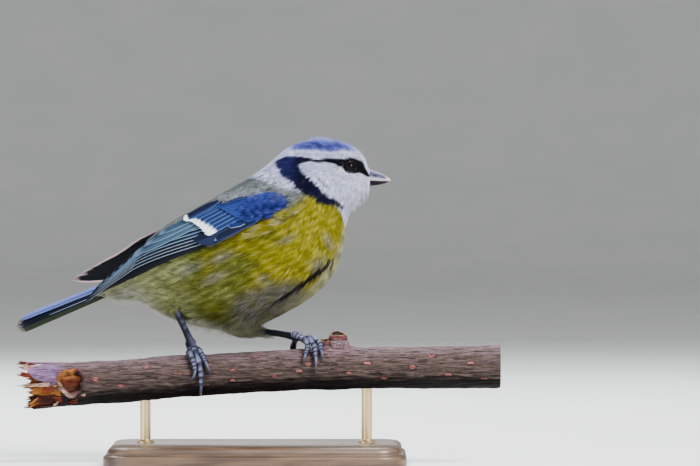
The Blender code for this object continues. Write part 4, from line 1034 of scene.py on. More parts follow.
OUTLINE_STEP, OUTLINE_ROWS = 0.5, 400
outline_places = np.arange(10.0, 68.0, OUTLINE_STEP)
outline_upper = np.full(len(outline_places), -9.0)
outline_lower = np.full(len(outline_places), 9.0)
for feather in sum(wing_rows().values(), SPREAD_PRIMARIES):
    *_, along, across = vane_grid(*feather[:4], **feather[7], rows=OUTLINE_ROWS)
    places = np.clip(((along - outline_places[0]) / OUTLINE_STEP).astype(int), 0, len(outline_places) - 1)
    np.maximum.at(outline_upper, places, across)
    np.minimum.at(outline_lower, places, across)
told = outline_upper > -8


def wing_outline(along):
    """The upper and lower edge of the folded wing, by distance along it."""
    return [np.interp(along, outline_places[told], edge[told]) for edge in (outline_upper, outline_lower)]


for label, place in (("right", right_wing), ("left", left_wing)):
    node = "wing_" + label
    rows = wing_rows() if label == "right" else {"spread_primaries": SPREAD_PRIMARIES, **wing_rows()}
    for row, feathers in rows.items():
        made = [vane(place, *feather, outline=wing_outline) for feather in feathers]
        vane_row(f"{row}_{label}", made, vane_finish, (node,), "wing_feathers")
    wing_coat(f"shoulder_{label}", place, node, 31)

# %% [markdown]
# The body coat comes after the wings, because it depends on them. No feather grows under a folded
# wing. Round its edge the body feathers lie over it: the grey-green scapulars over its upper edge,
# and a pale fringe over its shoulder. They are the same feathers, lifted as high as the wing.

# %% Body coat
def on_wing(first, second):
    """Where body spots lie on the wing beside them: along it, and past its upper and lower edges."""
    turn = np.arctan2(np.sin(second), np.cos(second))
    spots = body_point(first, -np.abs(turn), np.zeros_like(first))
    arms = spots[:, (0, 2)] - WING_SHOULDER
    along, across = arms @ WING_ALONG, arms @ WING_ACROSS
    over = across - np.interp(along, *np.transpose(WING_UPPER_EDGE))
    below = np.interp(along, *np.transpose(WING_LOWER_EDGE)) - across
    return along, over, below, np.abs(turn)


def clear_of_wing(first, second):
    along, over, below, turn = on_wing(first, second)
    return ~((along > 1.5) & (along < 50) & (over < -0.4) & (below < -1.1) & (turn > 0.6) & (turn < 2.4))


def on_scapulars(first, second):
    along, over, below, turn = on_wing(first, second)
    return (along > -3.5) & (along < 14) & (over > 0.9) & (over < 5.2) & (turn > 0.3) & (turn < 1.9)


def on_fringe(first, second):
    along, over, below, turn = on_wing(first, second)
    return (along > -5.0) & (along < 13) & (below > 0.3) & (below < 2.4) & (turn > 1.0) & (turn < 2.4)


def past_front(first, second):
    """Where the front of the shoulder is, ahead of the wing."""
    along, over, below, turn = on_wing(first, second)
    return (along > -4.5) & (along < -0.8) & (over < 2.5) & (below < 1.0) & (turn > 0.7) & (turn < 2.2)


def beside_the_edge(first, second):
    """The swing that keeps the scapulars beside the upper edge of the wing, which rises further back."""
    along, over, below, turn = on_wing(first, second)
    return (0.22 - 0.52 * smooth_step(6.5, 12.5, along)) * np.sign(np.sin(second))


def up_the_side(first, second):
    return -0.30 * np.sign(np.sin(second))


def scapular_colour(first, second):
    pale = clumps(first * 3.0, second * 14.0, 5, 2.2)
    grey = blend(np.clip(0.3 + 0.4 * pale, 0, 0.8), MANTLE * 0.9, MANTLE * 1.5 + (0.0, 0.0, 0.02))
    return blend(smooth_step(8.4, 9.4, first), grey, body_colour(first, second))


def fringe_colour(first, second):
    pale = clumps(first * 3.0, second * 14.0, 6, 1.6)
    return blend(np.clip(0.2 + 0.4 * pale, 0, 0.6), YELLOW, (0.42, 0.40, 0.22))


def scapular_lift(height, spread):
    """A height that grows towards the wing's edge, where the feathers lie over the wing."""
    def lift(first, second):
        along, over, below, turn = on_wing(first, second)
        return height - spread * smooth_step(0.8, 4.6, over)
    return lift


body_feathers("flank_coat", 1.2, 6.6, 1.50, 6.6, 1.25, 25, 0.068, (-0.3, 0.6, 0.95), 11, keep=clear_of_wing)
body_feathers("breast_coat", 6.6, 9.9, 1.35, 5.6, 1.15, 23, 0.062, (-0.3, 0.55, 0.85), 12, keep=clear_of_wing)
body_feathers("neck_coat", 9.9, 11.6, 0.98, 3.5, 0.85, 17, 0.052, (-0.2, 0.4, 0.62), 13, keep=clear_of_wing)
body_feathers("head_coat", 11.6, 14.6, 0.74, 2.5, 0.6, 15, 0.036, (-0.12, 0.32, 0.50), 14, keep=off_the_eyes,
              unrest=0.12)
body_feathers("face_coat", 14.6, 15.9, 0.50, 1.6, 0.40, 11, 0.030, (-0.08, 0.30, 0.52), 15, keep=off_the_eyes,
              unrest=0.15)
body_feathers("face_hairs", 12.6, 15.9, 0.8, 1.9, 0.5, 7, 0.034, (0.1, 0.9, 1.6), 21, loose=0.45,
              keep=off_the_eyes, unrest=0.32)
body_feathers("vent_coat", -0.2, 1.2, 1.3, 6.8, 1.1, 19, 0.065, (-0.25, 0.5, 0.8), 16)
body_feathers("scapulars", 4.5, 10.6, 1.0, 4.3, 0.95, 21, 0.050,
              (0.6, scapular_lift(3.3, 2.3), scapular_lift(3.8, 2.7)), 17, turn=beside_the_edge,
              keep=on_scapulars, paint=scapular_colour)
body_feathers("wing_fringe", 4.5, 10.6, 0.7, 3.7, 0.55, 11, 0.035, (0.3, 2.1, 3.2), 18, turn=up_the_side,
              keep=on_fringe, paint=fringe_colour, unrest=0.15)
body_feathers("shoulder_fringe", 6.0, 11.0, 0.7, 3.2, 0.6, 13, 0.038, (0.3, 1.9, 2.9), 19,
              keep=past_front, unrest=0.15)


def underside(first, second):
    return np.cos(second) < -0.86 - 0.05 * np.sin(4.1 * first + 2.0)


body_feathers("belly_fluff", 0.6, 6.8, 1.7, 5.0, 1.2, 11, 0.042, (0.2, 1.3, 2.5), 20, loose=0.35, keep=underside,
              paint=lambda first, second: blend(0.55 * smooth_step(6.2, 4.2, first), body_colour(first, second),
                                            (0.66, 0.66, 0.54)),
              unrest=0.5)

# %% [markdown]
# Each thigh is a short feathered cone that comes out of the belly and ends above the bare shank.
# The near one is almost hidden; the far one shows as a tuft.

# %% Thighs
THIGHS = {
    "right": (((-17.0, -3.0, 52.0), (-20.4, -5.6, 48.2), (-22.9, -6.35, 44.4)), (4.8, 3.0, 1.1), 4.2),
    "left": (((-10.0, 6.4, 44.0), (-5.0, 6.2, 38.9), (1.2, 4.9, 37.0)), (5.0, 2.9, 0.95), 6.6),
}
thigh_colour = np.array([0.20, 0.205, 0.065])


def make_thigh(label, path, radii, length, seed):
    knots = np.linspace(0, len(path) - 1, 24)
    way = spline_rows(path, knots)
    steps = np.r_[0, np.cumsum(np.linalg.norm(np.diff(way, axis=0), axis=1))]
    reach = steps[-1]
    ahead_rows = unit(np.gradient(way, axis=0))
    radius_rows = np.interp(knots, range(3), radii)

    def place(along, turn, lift):
        along, turn, lift = np.broadcast_arrays(along, turn, lift)
        held = np.clip(along, 0, reach)
        middle = np.stack([np.interp(held, steps, way[:, k]) for k in range(3)], -1)
        ahead = unit(np.stack([np.interp(held, steps, ahead_rows[:, k]) for k in range(3)], -1))
        side = unit(np.cross(ahead, (0.0, 0.0, 1.0)))
        top = np.cross(side, ahead)
        past = np.maximum(along - reach, 0.0)
        radius = np.interp(held, steps, radius_rows) * np.exp(-past / 9.0) + lift
        return (middle + ahead * past[..., None] + radius[..., None]
                * (np.cos(turn)[..., None] * side + np.sin(turn)[..., None] * top))

    dice = np.random.default_rng(seed)
    first, second = [], []
    for row, along in enumerate(np.arange(0.5, reach - 0.4, 0.85)):
        around = TAU * np.interp(along, steps, radius_rows)
        number = max(6, int(around / 0.85))
        first += [along + dice.uniform(-0.3, 0.3) for _ in range(number)]
        second += list((np.arange(number) + 0.5 * (row % 2)) * TAU / number)
    first, second = np.array(first), np.array(second)
    radius = np.interp(first, steps, radius_rows)
    bake = np.stack([first / (reach + 1) * 0.9 + 0.05, np.mod(second / TAU, 1) * 0.9 + 0.05], 1)

    # The far thigh's end is a dull grey-olive: painted shade.
    end_colour = (0.20, 0.20, 0.14) if label == "left" else thigh_colour

    def paint(along, turn):
        return blend(smooth_step(0.3, 1.0, along / reach), thigh_colour * (1, 1, 0.75), end_colour)

    feather_coat("thigh_coat_" + label, plumage_finish, place, first, second,
                 (np.ones(len(first)), 1 / np.maximum(radius, 1.0)), length * 0.62, 0.85, 15, 0.04,
                 (0.0, 0.45, 0.7), np.zeros(len(first)), paint, bake, seed, 0.22, ("thigh_" + label,),
                 "belly_plumage", unrest=0.16)
    inner_along, inner_turn = np.meshgrid(np.linspace(0, reach, 20), np.arange(20) * TAU / 20, indexing="ij")
    points = place(inner_along, inner_turn, -0.1)
    mesh_piece("thigh_skin_" + label, points.reshape(-1, 3), sheet_triangles(20, 20, closed=True), skin_finish,
               (), "belly_plumage", np.tile(thigh_colour, (400, 1)))


for label, (path, radii, length) in THIGHS.items():
    make_thigh(label, path, radii, length, 51)

# %% [markdown]
# The tail is a narrow closed fan of six pairs of feathers. The middle pair lies on top, and the
# outer ones step out from under it, so from the side we see a ladder of edges.

# %% Tail
TAIL_ROOT = np.array([-39.6, 11.2, 50.2])
TAIL_TIP = np.array([-67.9, 20.4, 38.8])
TAIL_PAIRS = 6
TAIL_SPREAD, TAIL_DROP = 0.80, 0.36
TAIL_ROLL = math.radians(-26)
TAIL_LENGTH = float(np.linalg.norm(TAIL_TIP - TAIL_ROOT))
tail_ahead = unit(TAIL_TIP - TAIL_ROOT)
tail_side = unit(BODY_PLANE - (BODY_PLANE @ tail_ahead) * tail_ahead)
tail_side = tail_side * math.cos(TAIL_ROLL) + np.cross(tail_ahead, tail_side) * math.sin(TAIL_ROLL)
tail_up = np.cross(tail_side, tail_ahead)
tail_up = tail_up * math.copysign(1.0, tail_up[2])
# The undersides are a dark green-grey: painted shade with a painted reflection of green light.
TAIL_BLUE = dict(PRIMARY, web=(0.040, 0.085, 0.300), inner=(0.016, 0.045, 0.170), edge=(0.16, 0.22, 0.46),
                 tip=(0.30, 0.24, 0.25), tip_share=0.025, under=(0.008, 0.011, 0.005),
                 under_edge=(0.09, 0.11, 0.07), dark_from=-0.2)
TAIL_MIDDLE = dict(TAIL_BLUE, web=(0.018, 0.040, 0.170), inner=(0.070, 0.105, 0.36), edge=(0.05, 0.10, 0.32),
                   dark_from=0.25, shaft=0.0)
TAIL_PALE = dict(TAIL_BLUE, web=(0.30, 0.32, 0.60), inner=(0.20, 0.23, 0.52), edge=(0.50, 0.50, 0.70))
TAIL_LIGHT = dict(TAIL_PALE, web=(0.46, 0.47, 0.70), inner=(0.42, 0.43, 0.68))
TAIL_DARK = dict(TAIL_BLUE, web=(0.002, 0.003, 0.007), inner=(0.002, 0.003, 0.007), edge=(0.24, 0.27, 0.38))
TAIL_BLACK = dict(TAIL_DARK, edge=(0.010, 0.012, 0.022))
# The lowest near tail feathers are olive-black: painted shade with a painted reflection of green light.
TAIL_SHADE_GREEN_REFLECTION = dict(TAIL_DARK, web=(0.014, 0.019, 0.007), inner=(0.010, 0.014, 0.006), edge=(0.020, 0.028, 0.012))
TAIL_PAINTS = {-1: (TAIL_MIDDLE, TAIL_BLACK, TAIL_DARK, TAIL_BLACK, TAIL_SHADE_GREEN_REFLECTION, TAIL_SHADE_GREEN_REFLECTION),
               1: (TAIL_MIDDLE, TAIL_PALE, TAIL_PALE, TAIL_LIGHT, TAIL_LIGHT, TAIL_LIGHT)}


def tail_place(along, across, lift):
    """Points of the tail by distance along it, to the left, and height."""
    return TAIL_ROOT + (np.asarray(along)[..., None] * tail_ahead + np.asarray(across)[..., None] * tail_side
                        + np.asarray(lift)[..., None] * tail_up)


tail_feathers = []
for pair in range(TAIL_PAIRS):
    for side in (-1, 1):
        across = side * (0.55 + TAIL_SPREAD * pair)
        lift = 0.9 - TAIL_DROP * pair - (0.14 if side > 0 else 0.0)
        reach = TAIL_LENGTH - 0.5 * abs(pair - 2)
        widths = (0.8, 2.3) if side < 0 else (2.3, 0.8)
        made = vane(tail_place, (-3.0, across * 0.4), (reach, across), *widths, lift, -0.3 * side,
                    TAIL_PAINTS[side][pair], dict(pointed=0.12))
        if side > 0:
            made[2][:, :] = made[2].reshape(2, VANE_ROWS, len(VANE_COLUMNS), 3)[:, :, ::-1].reshape(-1, 3)
        tail_feathers.append(made)
vane_row("tail_feathers", tail_feathers, vane_finish, ("tail",), "tail_feathers")

# %% [markdown]
# The eye is nearly black, with a dark brown iris that shows only in strong light. It needs a wet
# gloss more than a colour. A thin ring of bare lid surrounds it, broken into pale flecks below.

# %% Eyes
eye_finish = Finish("wet_eye", roughness=0.05, Specular_IOR_Level=0.07)
eye_finish.set(Base_Color=eye_finish.painted())
lid_finish = Finish("lid_skin", roughness=0.5, Specular_IOR_Level=0.12)
lid_finish.set(Base_Color=lid_finish.painted())
lid_finish.bump(lid_finish.noise(lid_finish.place(), 6.0), 0.4, 0.05)


def eye_frame(outward):
    right = unit(np.cross(outward, (0.0, 0.0, 1.0)))
    return right, np.cross(right, outward)


def make_eye(label, middle, outward):
    """A ball with a slight bulge in front, whose iris is a ring of dark brown."""
    rows, sides = 30, 40
    polar, around = np.meshgrid(np.linspace(0.0, math.pi, rows), np.arange(sides) * TAU / sides, indexing="ij")
    right, up = eye_frame(outward)
    bulge = 1 + 0.06 * np.exp(-(polar / 0.55) ** 2)
    spoke = np.cos(around)[..., None] * right + np.sin(around)[..., None] * up
    points = middle + EYE_RADIUS * bulge[..., None] * (np.cos(polar)[..., None] * outward
                                                       + np.sin(polar)[..., None] * spoke)
    iris = smooth_step(0.50, 0.56, polar) * (1 - smooth_step(0.86, 0.94, polar))
    colour = blend(iris, (0.001, 0.001, 0.0015), (0.004, 0.0025, 0.002))
    return mesh_piece("eyeball_" + label, points.reshape(-1, 3), sheet_triangles(rows, sides, closed=True),
                      eye_finish, ("eye_" + label,), "eye_gloss", colour.reshape(-1, 3))


def make_lid(label, middle, outward, seed):
    """The bare ring of lid: dark above, and pale flecks along its lower half."""
    dice = np.random.default_rng(seed)
    rows, sides = 96, 12
    around, roll = np.meshgrid(np.arange(rows) * TAU / rows, np.arange(sides) * TAU / sides, indexing="ij")
    right, up = eye_frame(outward)
    spoke = np.cos(around)[..., None] * right + np.sin(around)[..., None] * up
    thick = 0.10 + 0.012 * np.sin(around * 17 + dice.uniform(0, 6)) * np.sin(around * 5)
    reach = EYE_RADIUS * 0.90 + thick * np.cos(roll)
    out = EYE_RADIUS * 0.62 + 0.08 + thick * np.sin(roll)
    points = middle + spoke * reach[..., None] + out[..., None] * outward
    low = np.clip(-np.sin(around + 0.25), 0, 1)
    fleck = smooth_step(0.45, 0.75, low) * smooth_step(-0.5, 0.7, np.sin(around * 11) + np.sin(around * 7 + 1))
    colour = blend(fleck * 0.7, (0.002, 0.002, 0.004), (0.15, 0.15, 0.20))
    rows_of = np.concatenate([points, points[:1]]).reshape(-1, 3)
    colours = np.concatenate([colour, colour[:1]]).reshape(-1, 3)
    return mesh_piece("lid_" + label, rows_of, sheet_triangles(rows + 1, sides, closed=True), lid_finish,
                      (), "head_plumage", colours)


for (middle, outward), label in zip(EYES, ("right", "left")):
    make_eye(label, middle, outward)
    make_lid(label, middle, outward, 41)

# %% [markdown]
# The bill is short and stubby. Its upper half is grey with a pale cutting edge and a horn-coloured
# tip, the lower half nearly black. Both are lofted from the same stations as the measured solids,
# only with many more sections, so the ridge along the top and the nostril can be modelled.

# %% Bill
BILL_STATIONS = np.array([
    (32.2, 82.5, 79.6, 78.05, 1.9),
    (33.4, 82.05, 79.55, 78.15, 1.75),
    (34.8, 81.55, 79.45, 78.4, 1.4),
    (36.2, 80.85, 79.4, 78.8, 0.9),
    (37.1, 80.2, 79.4, 79.15, 0.45),
    (37.6, 79.75, 79.4, 79.3, 0.15),
])
BILL_MIDDLE_Y = BODY_TABLE[-1][-1]
NOSTRIL = np.array([33.3, 0.0, 80.85])
bill_finish = Finish("bill_horn", roughness=0.4, Specular_IOR_Level=0.08)
horn_spot = bill_finish.place()
horn_lines = bill_finish.noise(bill_finish.stretch(horn_spot, (0.6, 3.0, 3.0)), 2.2, 4.0)
bill_finish.set(Base_Color=bill_finish.mix(horn_lines.step(0.3, 0.8) * 0.35, bill_finish.painted(),
                                           (0.42, 0.40, 0.46), "SOFT_LIGHT"),
                Roughness=horn_lines * 0.25 + 0.38)
bill_finish.bump(horn_lines, 0.3, 0.05)


def mandible(name, node, crown):
    """One half of the bill: crown is 1 for the upper half and -1 for the lower one."""
    rows, sides = 44, 32
    last = 5.0 if crown > 0 else 4.25
    table = spline_rows(BILL_STATIONS, np.linspace(-0.35, last, rows))
    x, top, mouth, under, half = (c[:, None] for c in table.T)
    turn = np.arange(sides)[None, :] * TAU / sides
    edge = mouth + (0.06 if crown > 0 else -0.10)
    far = top if crown > 0 else under - 0.05
    depth = (far - edge) * crown
    arch = np.clip(np.sin(turn), 0, 1) ** 0.85
    keel = np.clip(-np.sin(turn), 0, 1) * 0.12
    half = half * (1.0 if crown > 0 else 0.90)
    y = BILL_MIDDLE_Y + half * np.cos(turn) * (1 - 0.16 * arch)
    z = edge + crown * (arch * depth - keel * depth)
    points = np.stack([x + 0 * turn, y, z + 0 * turn], -1)
    near = np.sqrt(((points[..., 0] - NOSTRIL[0]) / 0.75) ** 2 + ((points[..., 2] - NOSTRIL[2]) / 0.30) ** 2)
    dent = np.clip(1 - near, 0, 1) * (crown > 0) * (np.abs(np.cos(turn)) > 0.3)
    points[..., 1] -= 0.55 * dent * np.sign(np.cos(turn))
    share = (points[..., 0] - BILL_STATIONS[0, 0]) / (BILL_STATIONS[-1, 0] - BILL_STATIONS[0, 0])
    if crown > 0:
        colour = blend(smooth_step(0.25, 0.85, arch + 0 * share), (0.190, 0.180, 0.250), (0.175, 0.168, 0.250))
        colour = blend(smooth_step(0.34, 0.16, np.abs(arch - 0.56)) * smooth_step(0.98, 0.62, share) * 0.9, colour,
                       (0.020, 0.020, 0.050))
        colour = blend(smooth_step(0.16, 0.02, arch + 0 * share) * 0.8, colour, (0.36, 0.33, 0.38))
        colour = blend(smooth_step(0.68, 0.98, share), colour, (0.50, 0.38, 0.26))
        colour = blend(np.minimum(dent * 2.5, 1.0), colour, INK)
    else:
        colour = blend(smooth_step(0.2, 0.0, arch + 0 * share) * 0.8, (0.004, 0.004, 0.006), (0.035, 0.010, 0.009))
        colour = blend(smooth_step(0.75, 1.0, share), colour, (0.09, 0.065, 0.055))
    ends = [points[0].mean(0), points[-1].mean(0)]
    colours = np.concatenate([colour.reshape(-1, 3), colour[0, :1], colour[-1, :1]])
    return mesh_piece(name, np.concatenate([points.reshape(-1, 3), ends]), capped_triangles(rows, sides),
                      bill_finish, (node,), "bill_horn", colours)


mandible("upper_bill", "bill_upper", 1)
mandible("lower_bill", "bill_lower", -1)

# %% [markdown]
# The branch is a young shoot with thin ridged bark, sprinkled with small raised pores. One end is
# sawn off, the other is torn, so that splintered wood and curled bark show. Bumps big enough to see
# against the light are modelled; the finest ridges are left to the finish.

# %% Branch
PERCH_AXIS = np.array([
    (-66.0, 22.0, 6.2),
    (-56.0, 22.3, 6.1),
    (-43.0, 23.0, 5.9),
    (-27.0, 24.2, 5.9),
    (-7.0, 25.5, 5.6),
    (15.0, 26.6, 5.7),
    (35.0, 27.0, 5.75),
    (68.4, 27.3, 5.9),
])
PERCH_RIGHT = 68.4
KNOT_X, KNOT_HEIGHT, KNOT_LENGTH, KNOT_TURN = 22.4, 1.9, 4.2, math.radians(34)
PHOTO_ORIGIN, PHOTO_SCALE, PORE_REACH = (256, 464), 0.28, 5.8
PORES = ((96, 378), (147, 367), (233, 369), (233, 380), (256, 356), (299, 370), (308, 363), (349, 372),
         (367, 362), (384, 377), (122, 384), (178, 372), (206, 384), (275, 375), (412, 366), (431, 355),
         (448, 374), (470, 362), (484, 377))


def perch_radius(x, turn):
    """The measured radius of the branch at x and at a turn from its top."""
    places = np.interp(x, PERCH_AXIS[:, 0], np.arange(len(PERCH_AXIS)))
    radius = spline_rows(PERCH_AXIS, places)[..., 2]
    away = np.arctan2(np.sin(turn), np.cos(turn))
    swell = KNOT_HEIGHT * np.exp(-((x - KNOT_X) / KNOT_LENGTH) ** 2 - (away / KNOT_TURN) ** 2)
    return radius + swell + 0.1 * np.sin(3 * turn + 0.21 * x) + 0.07 * np.sin(5 * turn - 0.33 * x)


def perch_height(x):
    places = np.interp(x, PERCH_AXIS[:, 0], np.arange(len(PERCH_AXIS)))
    return spline_rows(PERCH_AXIS, places)[..., 1]


def perch_place(x, turn, lift):
    """Points over the bark. Turn grows from the top towards the near side."""
    x, turn = np.broadcast_arrays(np.asarray(x, float), np.asarray(turn, float))
    reach = perch_radius(x, turn) + lift
    return np.stack([x, -reach * np.sin(turn), perch_height(x) + reach * np.cos(turn)], -1)


def waves(x, turn, seed, terms, coarse, fine):
    """Smooth ridges along the branch: a sum of waves with random pitch."""
    dice = np.random.default_rng(seed)
    total = np.zeros(np.broadcast(x, turn).shape)
    for _ in range(terms):
        pitch = dice.integers(coarse, fine)
        total += np.sin(pitch * turn + dice.uniform(-0.6, 0.6) * x + dice.uniform(0, TAU)
                        + 1.3 * np.sin(0.3 * x + dice.uniform(0, TAU))) / math.sqrt(terms)
    return total


bark_finish = Finish("bark", roughness=0.82, Specular_IOR_Level=0.12)
bark_spot = bark_finish.place()
fibres = bark_finish.noise(bark_finish.stretch(bark_spot, (0.15, 2.2, 2.2)), 1.5, 6.0, 0.65)
threads = bark_finish.noise(bark_finish.stretch(bark_spot, (0.5, 5.0, 5.0)), 1.4, 4.0, 0.6)
blotches = bark_finish.noise(bark_spot, 0.16, 4.0)
pale_bark = bark_finish.mix(1.0, bark_finish.painted(), (2.4, 2.3, 2.4), "MULTIPLY")
dark_bark = bark_finish.mix(1.0, bark_finish.painted(), (0.10, 0.08, 0.08), "MULTIPLY")
bark_colour = bark_finish.mix(fibres.step(0.42, 0.60) * 0.85, bark_finish.painted(), dark_bark)
bark_colour = bark_finish.mix(threads.step(0.54, 0.70) * 0.6, bark_colour, pale_bark)
bark_colour = bark_finish.mix(blotches.step(0.55, 0.75) * 0.3, bark_colour, bark_finish.painted())
bark_finish.set(Base_Color=bark_colour, Roughness=threads * -0.25 + 0.9)
bark_finish.bump(fibres * -0.9 + threads * 0.7, 0.9, 0.40)

BARK_START, BARK_ROWS, BARK_SIDES = -58.0, 420, 120
bark_x, bark_turn = np.meshgrid(np.linspace(0, 1, BARK_ROWS), np.arange(BARK_SIDES) * TAU / BARK_SIDES,
                                indexing="ij")
torn_edge = BARK_START + 1.0 * waves(0 * bark_turn, bark_turn, 3, 6, 3, 19)
torn_edge += 5.0 * np.exp(-((bark_turn - 2.05) / 0.42) ** 2) - 6.0 * np.exp(-((bark_turn - 0.95) / 0.5) ** 2)
bark_x = torn_edge + (PERCH_RIGHT - torn_edge) * bark_x
ridges = 0.10 * waves(bark_x, bark_turn, 4, 9, 9, 34) + 0.07 * waves(bark_x * 1.7, bark_turn, 5, 6, 5, 17)
PERCH_BARK, PINK_BARK = np.array([0.066, 0.045, 0.038]), np.array([0.165, 0.108, 0.118])
VIOLET_BARK = np.array([0.200, 0.115, 0.240])
from_top = np.abs(np.arctan2(np.sin(bark_turn), np.cos(bark_turn)))
# The bark is darker in the grooves between its ridges and lighter on them: painted shade in the grooves.
bark_colours = blend(0.5 + 0.45 * np.tanh(ridges * 9), PERCH_BARK * 0.5, PERCH_BARK * 1.3)
# The top of the branch turns pink: partly the bark's tint and partly a painted highlight.
bark_colours = blend(smooth_step(1.35, 0.35, from_top + 3.0 * ridges) * 0.75, bark_colours, PINK_BARK)
knotted = np.exp(-((bark_x - KNOT_X) / 6.5) ** 2 - (from_top / 0.75) ** 2)
bark_colours = blend(knotted * 0.8, bark_colours, PINK_BARK * (1.05, 0.9, 1.0))
bark_colours = blend(smooth_step(-52.0, -57.0, bark_x) * smooth_step(1.7, 1.2, from_top) * 0.8, bark_colours,
                     VIOLET_BARK)
# The underside of the branch goes nearly black: painted shade.
bark_colours = blend(smooth_step(1.75, 2.25, from_top - 0.5 * ridges) * 0.98, bark_colours, PERCH_BARK * 0.05)
dice = np.random.default_rng(9)
pore_spots = []
for u, v in PORES:
    x, z = (u - PHOTO_ORIGIN[0]) * PHOTO_SCALE, (PHOTO_ORIGIN[1] - v) * PHOTO_SCALE
    rise = (z - float(perch_height(x))) / PORE_REACH
    pore_spots.append((x, math.acos(min(1.0, max(-1.0, rise)))))
pore_spots += [(dice.uniform(-50, 66), dice.uniform(math.pi, TAU)) for _ in range(22)]
for x, turn in pore_spots:
    away = np.hypot((bark_x - x) / dice.uniform(0.7, 1.1),
                    5.8 * np.arctan2(np.sin(bark_turn - turn), np.cos(bark_turn - turn)) / dice.uniform(0.24, 0.4))
    ridges = ridges + 0.28 * np.exp(-away ** 2) - 0.24 * np.exp(-(away * 2.4) ** 2)
    bark_colours = blend(0.85 * smooth_step(1.75, 1.2, away), bark_colours, PERCH_BARK * 0.12)
    bark_colours = blend(0.95 * smooth_step(1.15, 0.85, away), bark_colours, (0.30, 0.105, 0.090))
    bark_colours = blend(0.8 * smooth_step(0.5, 0.2, away), bark_colours, (0.10, 0.020, 0.016))
HOLLOW_X, HOLLOW_TURN, HOLLOW_REACH = -51.7, 1.42, (3.1, 3.5)
hole_x, hole_z = bark_x - HOLLOW_X, 6.0 * (bark_turn - HOLLOW_TURN)
hole = np.hypot(hole_x / HOLLOW_REACH[0], hole_z / HOLLOW_REACH[1])
hole += 0.10 * np.sin(3 * np.arctan2(hole_z, hole_x) + 0.6) + 0.06 * np.sin(7 * np.arctan2(hole_z, hole_x))
hole_inside, hole_rim = smooth_step(1.0, 0.78, hole), np.exp(-((hole - 1.06) / 0.13) ** 2)
ridges = ridges - 2.1 * hole_inside + 0.75 * hole_rim * (1 + 0.5 * np.sin(hole_z * 2.2))
inside_colours = blend(smooth_step(-0.2, 1.3, hole_x + 0.4 * np.sin(3 * hole_z)), (0.26, 0.150, 0.022),
                       (0.045, 0.008, 0.004))
inside_colours = blend(smooth_step(1.2, 2.4, hole_z), inside_colours, (0.05, 0.012, 0.006))
rim_colours = blend(smooth_step(-1.5, 1.0, hole_z), (0.42, 0.125, 0.020), (0.50, 0.300, 0.240))
rim_colours = blend(smooth_step(0.4, 2.0, hole_x), rim_colours, (0.10, 0.035, 0.040))
bark_colours = blend(smooth_step(1.35, 0.95, hole) * 0.9, bark_colours, PERCH_BARK * 0.2)
bark_colours = blend(hole_rim * 0.9, bark_colours, rim_colours)
bark_colours = blend(hole_inside, bark_colours, inside_colours)
ridges = ridges * (1 - 0.8 * smooth_step(PERCH_RIGHT - 0.6, PERCH_RIGHT, bark_x))
bark_points = perch_place(bark_x, bark_turn, ridges)
sawn_rings, sawn_points, sawn_colours = 22, [], []
for share in np.linspace(0.985, 0.0, sawn_rings):
    ring_points = perch_place(np.full(BARK_SIDES, PERCH_RIGHT), bark_turn[-1], 0)
    axis_point = np.array([PERCH_RIGHT, 0.0, float(perch_height(PERCH_RIGHT))])
    ring_points = axis_point + (ring_points - axis_point) * max(share, 0.002)
    sawn_points.append(ring_points)
    growth = 0.5 + 0.5 * math.sin(share * 30.0)
    wood = blend(growth * 0.6, (0.34, 0.25, 0.14), (0.20, 0.13, 0.065))
    sawn_colours.append(np.tile(blend(float(share > 0.93), wood, PERCH_BARK * 0.8), (BARK_SIDES, 1)))
inner_x, inner_turn = torn_edge[:1] + np.array([[0.15], [2.0], [5.0]]), bark_turn[:1] + np.zeros((3, 1))
inner = perch_place(inner_x, inner_turn, np.array([[-0.5], [-0.8], [-1.1]]))[::-1]
all_points = np.concatenate([inner, bark_points, np.array(sawn_points)])
all_colours = np.concatenate([np.tile((0.05, 0.014, 0.008), (3, BARK_SIDES, 1)), bark_colours,
                              np.array(sawn_colours)])
mesh_piece("branch_bark", all_points.reshape(-1, 3), sheet_triangles(len(all_points), BARK_SIDES, closed=True),
           bark_finish, ("perch",), "bark", all_colours.reshape(-1, 3))

# %% [markdown]
# At the torn end a core of splintered wood stands out of the bark, and strips of bark curl away from
# it. The core is a ragged rod with a hollow in its end; each strip is a thin curved slab.

# %% Torn end
wood_finish = Finish("torn_wood", roughness=0.85, Specular_IOR_Level=0.06)
wood_spot = wood_finish.place()
splinters = wood_finish.noise(wood_finish.stretch(wood_spot, (0.3, 2.4, 2.4)), 1.6, 6.0, 0.7)
rot = wood_finish.noise(wood_spot, 0.55, 4.0)
wood_colour = wood_finish.mix(splinters.step(0.35, 0.65) * 0.7, wood_finish.painted(), (0.040, 0.010, 0.005))
wood_finish.set(Base_Color=wood_finish.mix(rot.step(0.45, 0.7) * 0.5, wood_colour, (0.012, 0.004, 0.003)))
wood_finish.bump(splinters, 0.9, 0.4)
CORE_ROWS, CORE_SIDES = 46, 90
core_share, core_turn = np.meshgrid(np.linspace(0, 1, CORE_ROWS), np.arange(CORE_SIDES) * TAU / CORE_SIDES,
                                    indexing="ij")
jag = 1.5 * waves(0 * core_turn, core_turn, 21, 9, 3, 26) + 0.6 * waves(0 * core_turn, core_turn, 22, 5, 20, 44)
outer_x = -48.0 - (14.6 + jag) * np.minimum(core_share / 0.6, 1.0)
depth = np.clip((core_share - 0.6) / 0.4, 0, 1)
core_x = outer_x + depth ** 0.8 * (6.5 + jag)
core_radius = (4.9 + 0.35 * waves(core_x, core_turn, 23, 7, 5, 22)) * np.where(depth > 0, (1 - depth) ** 0.7, 1.0)
core_radius = np.maximum(core_radius, 0.02)
core_points = np.stack([core_x, -core_radius * np.sin(core_turn),
                        perch_height(core_x) + core_radius * np.cos(core_turn)], -1)
